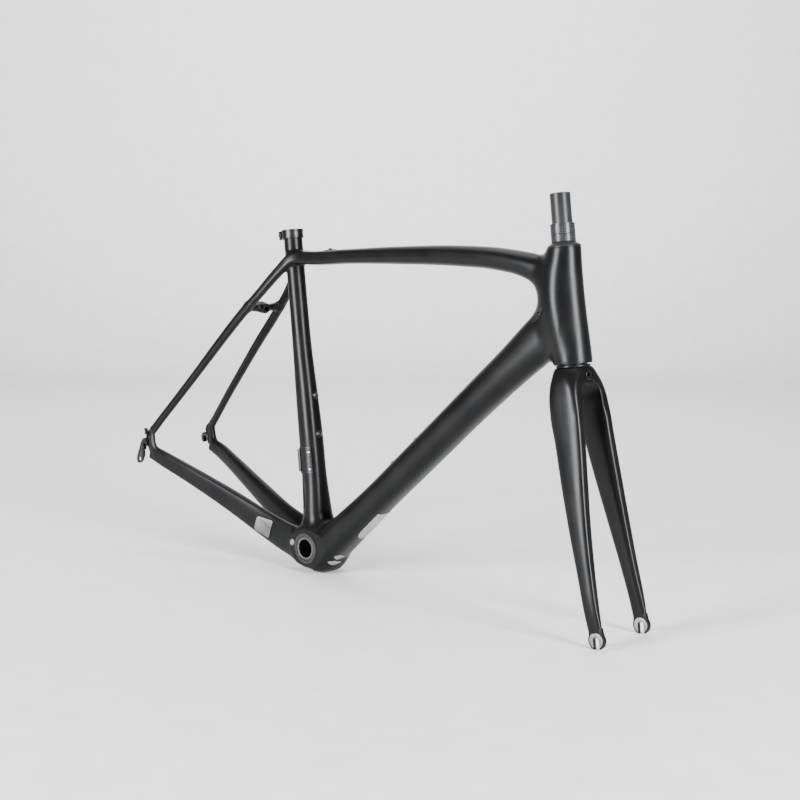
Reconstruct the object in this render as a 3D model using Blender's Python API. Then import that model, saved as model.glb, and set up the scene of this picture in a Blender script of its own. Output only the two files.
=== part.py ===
"""Road racing frameset: a moulded carbon frame with its rim-brake fork, headset and bottom bracket.

All design sizes are millimetres in riding posture: +X forward, +Y left, +Z up, origin at the
bottom bracket centre. An empty called "stance" then pitches everything nose-down, so that the
frameset stands on its bottom bracket and its two fork tips, and moves it onto z = 0.
"""
import math

import bmesh
import bpy
import numpy as np
from mathutils import Vector

MM = 0.001
GAP = 0.3
ROUND_SIDES = 24
SMALL_SIDES = 12

# Frame geometry
BB_DROP = 70.0
CHAINSTAY_LENGTH = 407.0
REAR_SPACING = 130.0
HEAD_ANGLE = math.radians(73.6)
SEAT_ANGLE = math.radians(73.6)
FRONT_AXLE_X = 591.5
AXLE_TO_CROWN = 369.0
FORK_RAKE = 43.0
FRONT_SPACING = 100.0
HEAD_TUBE_LENGTH = 160.0
CROWN_GAP = 4.9
STEERER_ABOVE_HEAD_TUBE = 75.4
SEAT_TUBE_LENGTH = 523.2
SEAT_TUBE_SETBACK = 3.5

# Standard fits
STEERER_RADIUS = 14.3
STEERER_BASE_RADIUS = 17.45
STEERER_BORE_RADIUS = 11.9
SEATPOST_BORE_RADIUS = 13.65
SEAT_TUBE_RADIUS = 15.2
SPINDLE_BORE_RADIUS = 15.05
BB_BEARING_RADIUS = 21.0
BB_SHELL_HALF_WIDTH = 34.0
BB_SHELL_RADIUS = 30.4
BB_SHELL_BORE_RADIUS = 23.2
BB_HEIGHT = 42.0
FORK_TIP_RADIUS = 13.0
FORK_TIP_REACH = 12.62
REAR_SLOT_WIDTH = 10.2
FRONT_SLOT_WIDTH = 9.2
BOTTLE_BOLT_SPACING = 64.0
TUBE_WALL = 1.6
DROPOUT_DEPTH = 8.3
HANGER_HOLE = (-10.0, -31.0)
CLAMP_BOTTOM = 510.0
CLAMP_HEIGHT = 14.0
MOUNT_HEIGHT = 122.0
MOUNT_LENGTH = 44.0
MOUNT_SCREWS = (7.2, 35.0)

# Directions and datum points
STEER_UP = Vector((-math.cos(HEAD_ANGLE), 0.0, math.sin(HEAD_ANGLE)))
STEER_FORWARD = Vector((math.sin(HEAD_ANGLE), 0.0, math.cos(HEAD_ANGLE)))
SEAT_UP = Vector((-math.cos(SEAT_ANGLE), 0.0, math.sin(SEAT_ANGLE)))
SEAT_FORWARD = Vector((math.sin(SEAT_ANGLE), 0.0, math.cos(SEAT_ANGLE)))
LEFT = Vector((0.0, 1.0, 0.0))
REAR_AXLE = Vector((-math.sqrt(CHAINSTAY_LENGTH**2 - BB_DROP**2), 0.0, BB_DROP))
FRONT_AXLE = Vector((FRONT_AXLE_X, 0.0, BB_DROP))
TIP_HEIGHT = -math.sqrt(AXLE_TO_CROWN**2 - FORK_RAKE**2)
CROWN_SEAT = FRONT_AXLE - STEER_FORWARD * FORK_RAKE - STEER_UP * TIP_HEIGHT
HEAD_BOTTOM = CROWN_SEAT + STEER_UP * CROWN_GAP

# Stance: the guide under the bottom bracket and the fork tips touch one level floor
STANCE_PITCH = (math.atan2(BB_DROP, FRONT_AXLE_X)
                + math.asin((BB_HEIGHT - FORK_TIP_REACH) / FRONT_AXLE.length))
LEVEL = Vector((math.cos(STANCE_PITCH), 0.0, math.sin(STANCE_PITCH)))
PLUMB = Vector((-math.sin(STANCE_PITCH), 0.0, math.cos(STANCE_PITCH)))
BB_CENTRE_X = -100.4

SIDES = {"right": -1.0, "left": 1.0}

# Stations of each tube: x, y, z, half side, half depth, section power (2 is an ellipse)
TOP_TUBE = (
    (-140, 0, 458.5, 15.5, 10.5, 2.4),
    (-90, 0, 465.8, 17.0, 11.3, 2.6),
    (-10, 0, 482.6, 18.5, 11.8, 2.6),
    (96, 0, 503.2, 19.5, 13.7, 2.5),
    (216, 0, 523.6, 21.0, 15.5, 2.4),
    (291, 0, 532.4, 22.0, 16.4, 2.3),
    (337, 0, 533.4, 22.0, 17.8, 2.2),
    (365, 0, 530.6, 21.5, 20.8, 2.2),
    (402, 0, 520.0, 20.0, 30.0, 2.2),
)
DOWN_TUBE = (
    (8, 0, -12.0, 33.5, 29.0, 2.6),
    (34, 0, 18.0, 33.5, 28.5, 2.5),
    (70, 0, 60.5, 31.5, 26.5, 2.4),
    (106, 0, 103.0, 29.5, 24.8, 2.4),
    (196, 0, 211.0, 27.5, 25.2, 2.4),
    (297, 0, 332.5, 27.0, 26.6, 2.3),
    (352, 0, 396.5, 25.5, 29.5, 2.2),
    (384, 0, 434.0, 23.5, 33.0, 2.2),
    (412, 0, 466.0, 21.0, 36.0, 2.2),
)
# Stations along the seat tube: distance up from the bottom bracket, forward shift, then the section
SEAT_TUBE = (
    (20, 0.0, 27.0, 24.0, 2.4),
    (60, 0.0, 23.5, 22.0, 2.3),
    (110, -0.5, 19.5, 20.6, 2.3),
    (190, -0.8, 18.6, 19.6, 2.3),
    (255, -2.2, 17.0, 18.3, 2.2),
    (330, -SEAT_TUBE_SETBACK, 15.4, 15.9, 2.1),
    (400, -SEAT_TUBE_SETBACK, SEAT_TUBE_RADIUS, SEAT_TUBE_RADIUS, 2.0),
    (SEAT_TUBE_LENGTH, -SEAT_TUBE_SETBACK, SEAT_TUBE_RADIUS, SEAT_TUBE_RADIUS, 2.0),
)
# Left-hand stays, mirrored for the right-hand ones
CHAINSTAY = (
    (-384, 69.0, 63.0, 4.6, 12.8, 3.0),
    (-350, 65.6, 57.5, 6.0, 14.2, 2.8),
    (-300, 56.6, 48.3, 7.4, 15.1, 2.7),
    (-240, 45.8, 35.9, 8.4, 17.2, 2.7),
    (-180, 35.9, 22.7, 9.0, 20.0, 2.6),
    (-110, 27.5, 7.0, 8.5, 23.5, 2.5),
    (-55, 24.5, -1.0, 9.0, 26.0, 2.5),
    (-20, 24.5, -2.0, 9.0, 26.5, 2.5),
)
SEATSTAY = (
    (-385.5, 68.6, 101.0, 4.8, 7.6, 2.4),
    (-368.6, 65.0, 126.0, 5.6, 7.0, 2.2),
    (-338.9, 58.8, 169.0, 6.0, 6.8, 2.1),
    (-298.1, 51.8, 227.0, 6.3, 7.0, 2.1),
    (-256.9, 45.5, 286.0, 6.6, 7.4, 2.1),
    (-216.0, 40.0, 342.0, 6.8, 7.6, 2.2),
    (-178.5, 31.0, 392.5, 6.8, 7.2, 2.3),
    (-148.0, 18.8, 434.0, 7.2, 8.0, 2.3),
    (-129.0, 12.0, 459.0, 7.5, 9.0, 2.3),
)
# The moulded keel under the bottom bracket
KEEL = (
    (-48, 0, -15.0, 20.0, 11.0, 2.4),
    (-26, 0, -17.5, 27.0, 19.0, 2.4),
    (0, 0, -18.5, 30.0, 21.5, 2.4),
    (20, 0, -16.5, 28.0, 20.5, 2.3),
    (38, 0, -8.0, 22.0, 15.5, 2.2),
)
# Fork stations: height above the crown seat, forward shift, side, half side, half depth, power
CROWN = (
    (0.0, 0.0, 25.8, 25.6, 2.0),
    (-4.0, 0.0, 29.6, 26.4, 2.1),
    (-12.0, 0.4, 34.4, 27.0, 2.3),
    (-22.0, 1.2, 38.0, 27.2, 2.4),
    (-34.0, 2.6, 40.0, 27.2, 2.4),
)
BLADE = (
    (-34.9, 2.7, 30.2, 9.6, 26.4, 2.6),
    (-60.0, 5.5, 32.0, 10.0, 26.2, 2.6),
    (-100.0, 10.0, 34.2, 10.4, 24.0, 2.6),
    (-160.0, 16.3, 40.2, 10.2, 20.5, 2.6),
    (-220.0, 23.4, 45.7, 9.4, 16.8, 2.5),
    (-280.0, 31.4, 50.3, 8.2, 13.6, 2.4),
    (-330.0, 38.2, 53.6, 6.4, 12.0, 2.4),
    (-353.0, 41.2, 53.9, 4.6, 11.6, 2.6),
)
ARCH_TOP = -18.5
ARCH_RADIUS = 21.5
CROWN_HOLE_HEIGHT = -10.9
CROWN_HOLE_RADIUS = 4.1

# Turned profiles: radius, height above the bottom of the head tube
HEAD_TUBE_OUTER = ((26.5, 0.0), (26.9, 3.0), (26.5, 18.0), (25.3, 42.0), (23.8, 70.0), (22.9, 98.0),
                   (22.7, 125.0), (23.2, 148.0), (23.6, 157.0), (23.3, 160.0))
HEAD_TUBE_INNER = ((21.2, 160.0), (21.2, 151.8), (18.8, 149.5), (18.8, 14.0), (24.7, 9.0), (24.7, 0.0))
UPPER_BEARING = (152.2, 159.3)
LOWER_BEARING = (0.9, 8.4)


# ---------------------------------------------------------------- helpers

def clear_scene():
    for item in list(bpy.data.objects):
        bpy.data.objects.remove(item, do_unlink=True)


def make_material(name, colour, roughness, metallic):
    material = bpy.data.materials.new(name)
    material.use_nodes = True
    shader = material.node_tree.nodes["Principled BSDF"]
    shader.inputs["Base Color"].default_value = (*colour, 1.0)
    shader.inputs["Roughness"].default_value = roughness
    shader.inputs["Metallic"].default_value = metallic
    return material


def make_object(name, points, faces, material, origin=Vector()):
    """Turn points in millimetres into one object under the stance, with its own origin."""
    mesh = bpy.data.meshes.new(name)
    mesh.from_pydata([(Vector(point) - origin) * MM for point in points], [], faces)
    shell = bmesh.new()
    shell.from_mesh(mesh)
    bmesh.ops.recalc_face_normals(shell, faces=shell.faces)
    shell.to_mesh(mesh)
    shell.free()
    mesh.shade_smooth()
    mesh.set_sharp_from_angle(angle=math.radians(35.0))
    item = bpy.data.objects.new(name, mesh)
    item.location = origin * MM
    item.parent = STANCE
    bpy.context.scene.collection.objects.link(item)
    if material is not None:
        mesh.materials.append(material)
    return item


def make_tool(item):
    """Mark an object as a cutting or joining tool, which is not part of the frameset."""
    item.hide_render = True
    item.display_type = "WIRE"
    return item


def combine(item, tool, operation="DIFFERENCE"):
    modifier = item.modifiers.new(operation.lower(), "BOOLEAN")
    modifier.operation = operation
    modifier.solver = "EXACT"
    modifier.object = tool
    return item


def fair(stations, rings):
    """Pass a smooth curve through the stations and read evenly spaced ones from it."""
    table = np.array(stations, dtype=float)
    steps = np.linalg.norm(np.diff(table[:, :3], axis=0), axis=1)
    along = np.concatenate([[0.0], np.cumsum(steps)])
    slopes = np.gradient(table, along, axis=0)
    result = []
    for distance in np.linspace(0.0, along[-1], rings):
        index = min(int(np.searchsorted(along, distance, side="right")) - 1, len(along) - 2)
        span = along[index + 1] - along[index]
        t = (distance - along[index]) / span
        start = table[index] * (1 + 2 * t) * (1 - t)**2 + slopes[index] * span * t * (1 - t)**2
        end = table[index + 1] * t**2 * (3 - 2 * t) + slopes[index + 1] * span * t**2 * (t - 1)
        result.append(start + end)
    return np.array(result)


def ring_axes(stations, index):
    """Side and depth directions of the section at one station."""
    ahead = stations[min(index + 1, len(stations) - 1)][:3]
    behind = stations[max(index - 1, 0)][:3]
    tangent = Vector(ahead - behind).normalized()
    side = (LEFT - tangent * tangent.y).normalized()
    return side, tangent.cross(side)


def superellipse(angle, half_side, half_depth, power):
    cosine = math.cos(angle)
    sine = math.sin(angle)
    across = math.copysign(abs(cosine)**(2.0 / power), cosine) * half_side
    deep = math.copysign(abs(sine)**(2.0 / power), sine) * half_depth
    return across, deep


def section_point(stations, index, angle, grow):
    x, y, z, half_side, half_depth, power = stations[index]
    side, depth = ring_axes(stations, index)
    across, deep = superellipse(angle, half_side + grow, half_depth + grow, power)
    return Vector((x, y, z)) + side * across + depth * deep


def skin(stations, sides, grow):
    """Rings of points round the tube, one ring for each station."""
    angles = [2.0 * math.pi * step / sides for step in range(sides)]
    return [section_point(stations, index, angle, grow)
            for index in range(len(stations)) for angle in angles]


def wall_faces(rings, sides, first):
    return [(first + ring * sides + step, first + ring * sides + (step + 1) % sides,
             first + (ring + 1) * sides + (step + 1) % sides, first + (ring + 1) * sides + step)
            for ring in range(rings - 1) for step in range(sides)]


def solid_tube(name, stations, sides, grow, material=None):
    points = skin(stations, sides, grow)
    faces = wall_faces(len(stations), sides, 0)
    faces.append(tuple(range(sides)))
    faces.append(tuple(len(points) - sides + step for step in range(sides)))
    return make_object(name, points, faces, material)


def hollow_tube(name, stations, sides, wall, material):
    outer = skin(stations, sides, 0.0)
    inner = skin(stations, sides, -wall)
    count = len(outer)
    faces = wall_faces(len(stations), sides, 0) + wall_faces(len(stations), sides, count)
    for base in (0, count - sides):
        for step in range(sides):
            other = (step + 1) % sides
            faces.append((base + step, base + other, count + base + other, count + base + step))
    return make_object(name, outer + inner, faces, material)


def envelope(name, stations, sides):
    """The tube's outer shape grown by the bonding gap, for trimming its neighbours."""
    return make_tool(solid_tube(name + "_envelope", stations, sides, GAP))


def turned(name, profile, base, axis, segments, material, closed=True):
    """Turn (radius, height) points about an axis: a ring if closed, else a solid with two poles."""
    axis = axis.normalized()
    across = axis.orthogonal().normalized()
    other = axis.cross(across)
    points = []
    rows = []
    for radius, height in profile:
        centre = base + axis * height
        if radius == 0.0:
            rows.append([len(points)] * segments)
            points.append(centre)
            continue
        rows.append(list(range(len(points), len(points) + segments)))
        for step in range(segments):
            angle = 2.0 * math.pi * step / segments
            points.append(centre + across * math.cos(angle) * radius + other * math.sin(angle) * radius)
    pairs = list(zip(rows, rows[1:] + (rows[:1] if closed else [])))
    faces = []
    for low, high in pairs:
        for step in range(segments):
            turn = (step + 1) % segments
            corners = [low[step], low[turn], high[turn], high[step]]
            faces.append(tuple(dict.fromkeys(corners)))
    return make_object(name, points, faces, material, base)


def rod(name, start, end, radius, segments, material=None):
    axis = end - start
    profile = ((0.0, 0.0), (radius, 0.0), (radius, axis.length), (0.0, axis.length))
    return turned(name, profile, start, axis, segments, material, closed=False)


def ring(name, inner, outer, low, high, base, axis, segments, material):
    profile = ((outer, low), (outer, high), (inner, high), (inner, low))
    return turned(name, profile, base, axis, segments, material)


def plate(name, outline, across, deep, normal, thickness, origin, material):
    """Extrude an outline, given along two directions from an origin, to both sides of it."""
    low, high = thickness
    points = [origin + across * a + deep * b + normal * low for a, b in outline]
    points += [origin + across * a + deep * b + normal * high for a, b in outline]
    count = len(outline)
    faces = [tuple(range(count)), tuple(range(count, 2 * count))]
    for step in range(count):
        turn = (step + 1) % count
        faces.append((step, turn, count + turn, count + step))
    return make_object(name, points, faces, material, origin)


def arc(centre, radius, start, end, steps):
    angles = [math.radians(start + (end - start) * step / steps) for step in range(steps + 1)]
    return [(centre[0] + radius * math.cos(a), centre[1] + radius * math.sin(a)) for a in angles]


def surface_patch(name, stations, rows, angles, layer, material):
    """A thin plate that lies on a tube: rows of stations by section angles, between two heights."""
    low, high = layer
    grid = [[section_point(stations, index, angle, grow) for index in rows for angle in angles]
            for grow in (low, high)]
    width = len(angles)
    count = len(grid[0])
    faces = []
    for row in range(len(rows) - 1):
        for step in range(width - 1):
            corner = row * width + step
            face = (corner, corner + 1, corner + width + 1, corner + width)
            faces.append(face)
            faces.append(tuple(count + index for index in face))
    border = list(range(width)) + [row * width + width - 1 for row in range(1, len(rows))]
    border += list(range(count - 2, count - width - 1, -1))
    border += [row * width for row in range(len(rows) - 2, 0, -1)]
    for step, index in enumerate(border):
        turn = border[(step + 1) % len(border)]
        faces.append((index, turn, count + turn, count + index))
    return make_object(name, grid[0] + grid[1], faces, material)


def mirrored(stations, hand):
    return [(x, y * hand, z, *rest) for x, y, z, *rest in stations]


def seat_point(up, forward, side=0.0):
    return SEAT_UP * up + SEAT_FORWARD * forward + LEFT * side


def fork_point(up, forward, side=0.0):
    return CROWN_SEAT + STEER_UP * up + STEER_FORWARD * forward + LEFT * side


# ---------------------------------------------------------------- frame tubes

def frame_stations():
    """Evenly spaced stations of every bonded section of the frame."""
    seat = [(*seat_point(up, forward), side, depth, power)
            for up, forward, side, depth, power in SEAT_TUBE]
    result = {
        "top_tube": fair(TOP_TUBE, 11),
        "down_tube": fair(DOWN_TUBE, 9),
        "seat_tube": fair(seat, 9),
    }
    for word, hand in SIDES.items():
        result["chainstay_" + word] = fair(mirrored(CHAINSTAY, hand), 8)
        result["seatstay_" + word] = fair(mirrored(SEATSTAY, hand), 9)
    return result


def build_head_tube():
    profile = HEAD_TUBE_OUTER + HEAD_TUBE_INNER
    turned("head_tube", profile, HEAD_BOTTOM, STEER_UP, ROUND_SIDES, CARBON)
    grown = [(radius + GAP, height) for radius, height in HEAD_TUBE_OUTER]
    grown = [(0.0, grown[0][1])] + grown + [(0.0, grown[-1][1])]
    return make_tool(turned("head_tube_envelope", grown, HEAD_BOTTOM, STEER_UP, ROUND_SIDES, None, closed=False))


def build_bottom_bracket_shell():
    """The barrel with its keel, and the two shapes that trim the tubes round it."""
    start = LEFT * -BB_SHELL_HALF_WIDTH
    wide = LEFT * (2 * BB_SHELL_HALF_WIDTH)
    stations = fair(KEEL, 5)
    shell = rod("bottom_bracket_shell", start, -start, BB_SHELL_RADIUS, ROUND_SIDES, CARBON)
    combine(shell, make_tool(solid_tube("keel", stations, 16, 0.0)), "UNION")
    combine(shell, make_tool(rod("bottom_bracket_bore", -wide, wide, BB_SHELL_BORE_RADIUS, ROUND_SIDES)))
    barrel = make_tool(rod("bottom_bracket_envelope", -wide, wide, BB_SHELL_RADIUS + GAP, ROUND_SIDES))
    return barrel, envelope("keel", stations, 16)


def build_tubes():
    """Hollow tubes, each trimmed where it meets the ones that carry it."""
    stations = frame_stations()
    sides = {"top_tube": 16, "down_tube": 18, "seat_tube": 16}
    trims = {
        "seat_tube": ("barrel", "keel"),
        "down_tube": ("barrel", "keel", "head_tube", "seat_tube"),
        "top_tube": ("head_tube", "seat_tube", "down_tube"),
    }
    for word in SIDES:
        trims["chainstay_" + word] = ("barrel", "keel", "seat_tube", "down_tube")
        trims["seatstay_" + word] = ("seat_tube", "top_tube")
    barrel, keel = build_bottom_bracket_shell()
    envelopes = {"head_tube": build_head_tube(), "barrel": barrel, "keel": keel}
    for name, table in stations.items():
        envelopes[name] = envelope(name, table, sides.get(name, SMALL_SIDES))
    tubes = {}
    for name, table in stations.items():
        wall = SEAT_TUBE_RADIUS - SEATPOST_BORE_RADIUS if name == "seat_tube" else TUBE_WALL
        tubes[name] = hollow_tube(name, table, sides.get(name, SMALL_SIDES), wall, CARBON)
        for other in trims[name]:
            combine(tubes[name], envelopes[other])
    return stations, tubes, envelopes


def build_brake_bridge(envelopes):
    """A short arched bar between the seatstays with a barrel for the brake bolt."""
    forward = (SEAT_FORWARD + Vector((0.0, 0.0, -0.35))).normalized()
    centre = Vector((-203.0, 0.0, 361.0))
    half_span = 36.0
    stations = [(centre.x - 1.5 * (1 - t * t), half_span * t, centre.z - 1.0 + 3.0 * t * t, 5.2, 5.2, 2.2)
                for t in (-1.0, -0.5, 0.0, 0.5, 1.0)]
    points = []
    sides = 10
    for x, y, z, half_x, half_z, power in stations:
        for step in range(sides):
            across, deep = superellipse(2.0 * math.pi * step / sides, half_x, half_z, power)
            points.append(Vector((x + across, y, z + deep)))
    faces = wall_faces(len(stations), sides, 0)
    faces.append(tuple(range(sides)))
    faces.append(tuple(len(points) - sides + step for step in range(sides)))
    bridge = make_object("brake_bridge", points, faces, CARBON)
    barrel = make_tool(rod("brake_barrel", centre - forward * 11.0, centre + forward * 13.0, 8.4, SMALL_SIDES))
    bore = make_tool(rod("brake_bore", centre - forward * 30.0, centre + forward * 30.0, 4.1, SMALL_SIDES))
    combine(bridge, barrel, "UNION")
    combine(bridge, bore)
    for word in SIDES:
        combine(bridge, envelopes["seatstay_" + word])
    return bridge


# ---------------------------------------------------------------- rear dropouts

def build_dropouts(envelopes):
    """Plates that hold the rear axle, open downwards, and the hanger on the right-hand one."""
    half = REAR_SLOT_WIDTH / 2
    inner = REAR_SPACING / 2
    slot = arc((0.0, 0.0), half, 0.0, 180.0, 8)
    body = [(20.0, 0.0), (20.0, -19.0), (11.0, -18.0), (6.8, -10.0)]
    body += slot
    body += [(-half, -8.5)] + arc((0.0, 0.0), 10.2, 232.0, 150.0, 4)
    body += [(-3.5, 13.5), (3.0, 24.0), (9.5, 33.5), (16.0, 39.0), (22.0, 34.0), (19.0, 20.0), (21.0, 8.0)]
    across = Vector((1.0, 0.0, 0.0))
    deep = Vector((0.0, 0.0, 1.0))
    layers = {"right": (-inner - 4.2, -inner), "left": (inner, inner + DROPOUT_DEPTH)}
    for word, layer in layers.items():
        item = plate("dropout_" + word, body, across, deep, LEFT, layer, REAR_AXLE, CARBON)
        combine(item, envelopes["chainstay_" + word])
        combine(item, envelopes["seatstay_" + word])
    outline = [(half + 1.2, 0.0)] + slot + [(-half + 0.6, -12.0), (-3.2, -24.0)]
    outline += arc(HANGER_HOLE, 8.2, 10.0, -170.0, 6)
    outline += [(-16.2, -16.0), (-12.4, 0.0), (-8.4, 12.0), (-3.5, 18.0), (2.0, 15.5), (5.6, 8.0)]
    outer = (-inner - DROPOUT_DEPTH, -inner - 4.2 - GAP)
    hanger = plate("derailleur_hanger", outline, across, deep, LEFT, outer, REAR_AXLE, BLACK_ALLOY)
    hole = REAR_AXLE + across * HANGER_HOLE[0] + deep * HANGER_HOLE[1]
    combine(hanger, make_tool(rod("hanger_bore", hole - LEFT * 80.0, hole - LEFT * 60.0, 4.6, SMALL_SIDES)))
    screw = REAR_AXLE + across * -2.0 + deep * 11.5 - LEFT * inner
    bore = make_tool(rod("hanger_screw_bore", screw - LEFT * 20.0, screw + LEFT * 20.0, 1.9, SMALL_SIDES))
    combine(hanger, bore)
    combine(item_named("dropout_right"), bore)
    profile = ((0.0, 0.2), (1.6, 0.2), (1.6, DROPOUT_DEPTH - 0.4), (0.0, DROPOUT_DEPTH - 0.4))
    turned("derailleur_hanger_screw", profile, screw, -LEFT, SMALL_SIDES, STEEL, closed=False)
    stop = REAR_AXLE + Vector((-4.6, 0.0, 24.0)) - LEFT * (inner + 3.0)
    ring("rear_cable_stop", 1.3, 2.8, -4.5, 4.5, stop, SEAT_UP, SMALL_SIDES, BLACK_ALLOY)


# ---------------------------------------------------------------- frame fittings

def item_named(name):
    return bpy.data.objects[name]


def build_seat_clamp():
    """A split collar on the seat tube's top, closed by a bolt and a barrel nut behind it."""
    base = seat_point(CLAMP_BOTTOM, -SEAT_TUBE_SETBACK)
    bore = SEAT_TUBE_RADIUS + GAP
    outer = bore + 2.4
    slot = 1.2
    ear = 27.0
    thick = 5.6
    start = math.degrees(math.asin(slot / bore))
    turn = math.degrees(math.asin((slot + thick) / outer))
    outline = arc((0.0, 0.0), outer, 180.0 - turn, -180.0 + turn, 22)
    outline += [(-ear, -slot - thick), (-ear, -slot)]
    outline += arc((0.0, 0.0), bore, -180.0 + start, 180.0 - start, 22)
    outline += [(-ear, slot), (-ear, slot + thick)]
    collar = plate("seat_clamp_collar", outline, SEAT_FORWARD, LEFT, SEAT_UP, (0.0, CLAMP_HEIGHT), base,
                   BLACK_ALLOY)
    bolt = base + SEAT_UP * (CLAMP_HEIGHT / 2) - SEAT_FORWARD * 22.4
    combine(collar, make_tool(rod("clamp_bolt_bore", bolt - LEFT * 20.0, bolt + LEFT * 20.0, 2.8, SMALL_SIDES)))
    head = slot + thick + GAP
    profile = ((0.0, -head - 4.0), (3.6, -head - 4.0), (4.2, -head - 3.2), (4.2, -head), (2.4, -head),
               (2.4, head - 0.8), (0.0, head - 0.8))
    turned("seat_clamp_bolt", profile, bolt, LEFT, SMALL_SIDES, STEEL, closed=False)
    ring("seat_clamp_nut", 0.9, 4.4, head, head + 3.2, bolt, LEFT, SMALL_SIDES, STEEL)


def build_bottle_bolts(tubes):
    """Four button-head bolts in rivet nuts: two on the seat tube and two on the down tube."""
    down = (Vector((352.0, 0.0, 396.5)) - Vector((106.0, 0.0, 103.0))).normalized()
    down_out = Vector((-down.z, 0.0, down.x))
    places = {
        "seat_tube": (seat_point(186.0, 18.4), SEAT_UP, SEAT_FORWARD),
        "down_tube": (Vector((138.4, 0.0, 181.2)), down, down_out),
    }
    profile = ((0.0, -7.0), (2.4, -7.0), (2.4, 0.0), (5.2, 0.0), (4.6, 2.6), (2.9, 4.2), (1.5, 4.4),
               (1.3, 2.4), (0.0, 2.4))
    for tube, (low, along, out) in places.items():
        for word, shift in (("lower", 0.0), ("upper", BOTTLE_BOLT_SPACING)):
            seat = low + along * shift
            name = tube + "_bottle_bolt_" + word
            lift = surface_height(tube, seat, out) + GAP
            turned(name, profile, seat + out * lift, out, SMALL_SIDES, BLACK_STEEL, closed=False)
            bore = rod(name + "_bore", seat - out * 8.0, seat + out * 12.0, 2.8, SMALL_SIDES)
            combine(tubes[tube], make_tool(bore))


def surface_height(tube, seat, out):
    """How far the tube's skin lies beyond a point, measured along a direction."""
    stations = STATIONS[tube]
    points = [Vector(row[:3]) for row in stations]
    best = min(range(len(points)), key=lambda index: (points[index] - seat).length)
    low = max(min(best, len(points) - 2), 1)
    heights = []
    for index in (low - 1, low, low + 1):
        top = points[index] + out * stations[index][4]
        side, depth = ring_axes(stations, index)
        along = side.cross(depth)
        heights.append(((top - seat).dot(along), (top - seat).dot(out)))
    heights.sort()
    return float(np.interp(0.0, [height[0] for height in heights], [height[1] for height in heights]))


def build_front_derailleur_mount():
    """A curved plate on the right of the seat tube, held by two screws."""
    tube = STATIONS["seat_tube"]
    heights = [Vector(row[:3]).dot(SEAT_UP) for row in tube]
    rows = []
    for shift in np.linspace(0.0, MOUNT_LENGTH, 5):
        section = [float(np.interp(MOUNT_HEIGHT + shift, heights, tube[:, column])) for column in range(6)]
        rows.append(section)
    rows = np.array(rows)
    angles = [math.radians(angle) for angle in range(124, 221, 12)]
    mount = surface_patch("front_derailleur_mount", rows, range(5), angles, (0.5, 3.0), BLACK_ALLOY)
    profile = ((0.0, -2.6), (1.7, -2.6), (1.7, GAP), (3.2, GAP), (2.9, 2.0), (0.0, 2.4))
    turn = math.radians(206.0)
    side, depth = ring_axes(rows, 2)
    out = (side * math.cos(turn) + depth * math.sin(turn)).normalized()
    for word, shift in zip(("lower", "upper"), MOUNT_SCREWS):
        row = np.array([np.interp(shift, np.linspace(0.0, MOUNT_LENGTH, 5), rows[:, column])
                        for column in range(6)])
        seat = section_point(np.array([row, row + (rows[4] - rows[0])]), 0, turn, 3.0)
        name = "front_derailleur_mount_screw_" + word
        combine(mount, make_tool(rod(name + "_bore", seat - out * 6.0, seat + out * 6.0, 2.0, SMALL_SIDES)))
        turned(name, profile, seat, out, SMALL_SIDES, STEEL, closed=False)


def build_small_parts():
    """Guard plate, films, cable stops, port plug and the guide under the bottom bracket."""
    stay = fair(mirrored(CHAINSTAY, SIDES["right"]), 37)
    angles = [math.radians(angle) for angle in range(-210, -134, 15)]
    surface_patch("chainstay_guard_plate", stay, range(26, 31), angles, (0.65, 1.4), STEEL)
    down = fair(DOWN_TUBE, 45)
    angles = [math.radians(angle) for angle in range(-125, -54, 14)]
    surface_patch("down_tube_guard_film", down, range(7, 12), angles, (0.5, 0.9), STEEL)
    foot = -PLUMB * BB_HEIGHT + LEVEL * 4.0
    outline = [(-14.0, -9.0), (-10.0, -12.0), (10.0, -12.0), (14.0, -9.0), (14.0, 9.0), (10.0, 12.0),
               (-10.0, 12.0), (-14.0, 9.0)]
    plate("cable_guide", outline, LEVEL, LEFT, PLUMB, (0.0, 1.1), foot, BLACK_PLASTIC)
    stop_profile = ((1.4, 0.0), (3.4, 0.0), (3.0, 3.4), (1.4, 3.4))
    for name, tube, place, turn in (("top_tube_cable_stop", "top_tube", 0.15, 90.0),
                                    ("down_tube_cable_port", "down_tube", 0.925, 148.0)):
        stations = fair(STATIONS[tube], 200)
        index = int(place * 199)
        angle = math.radians(turn)
        side, depth = ring_axes(stations, index)
        out = (side * math.cos(angle) + depth * math.sin(angle)).normalized()
        seat = section_point(stations, index, angle, 0.6)
        turned(name, stop_profile, seat, out, SMALL_SIDES, BLACK_ALLOY)
    seat = Vector((-32.5, -BB_SHELL_HALF_WIDTH, 0.3))
    turned("port_plug", ((0.0, 0.0), (5.5, 0.0), (5.1, 1.2), (0.0, 1.6)), seat, -LEFT, SMALL_SIDES, ALUMINIUM,
           closed=False)


# ---------------------------------------------------------------- bottom bracket

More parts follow.
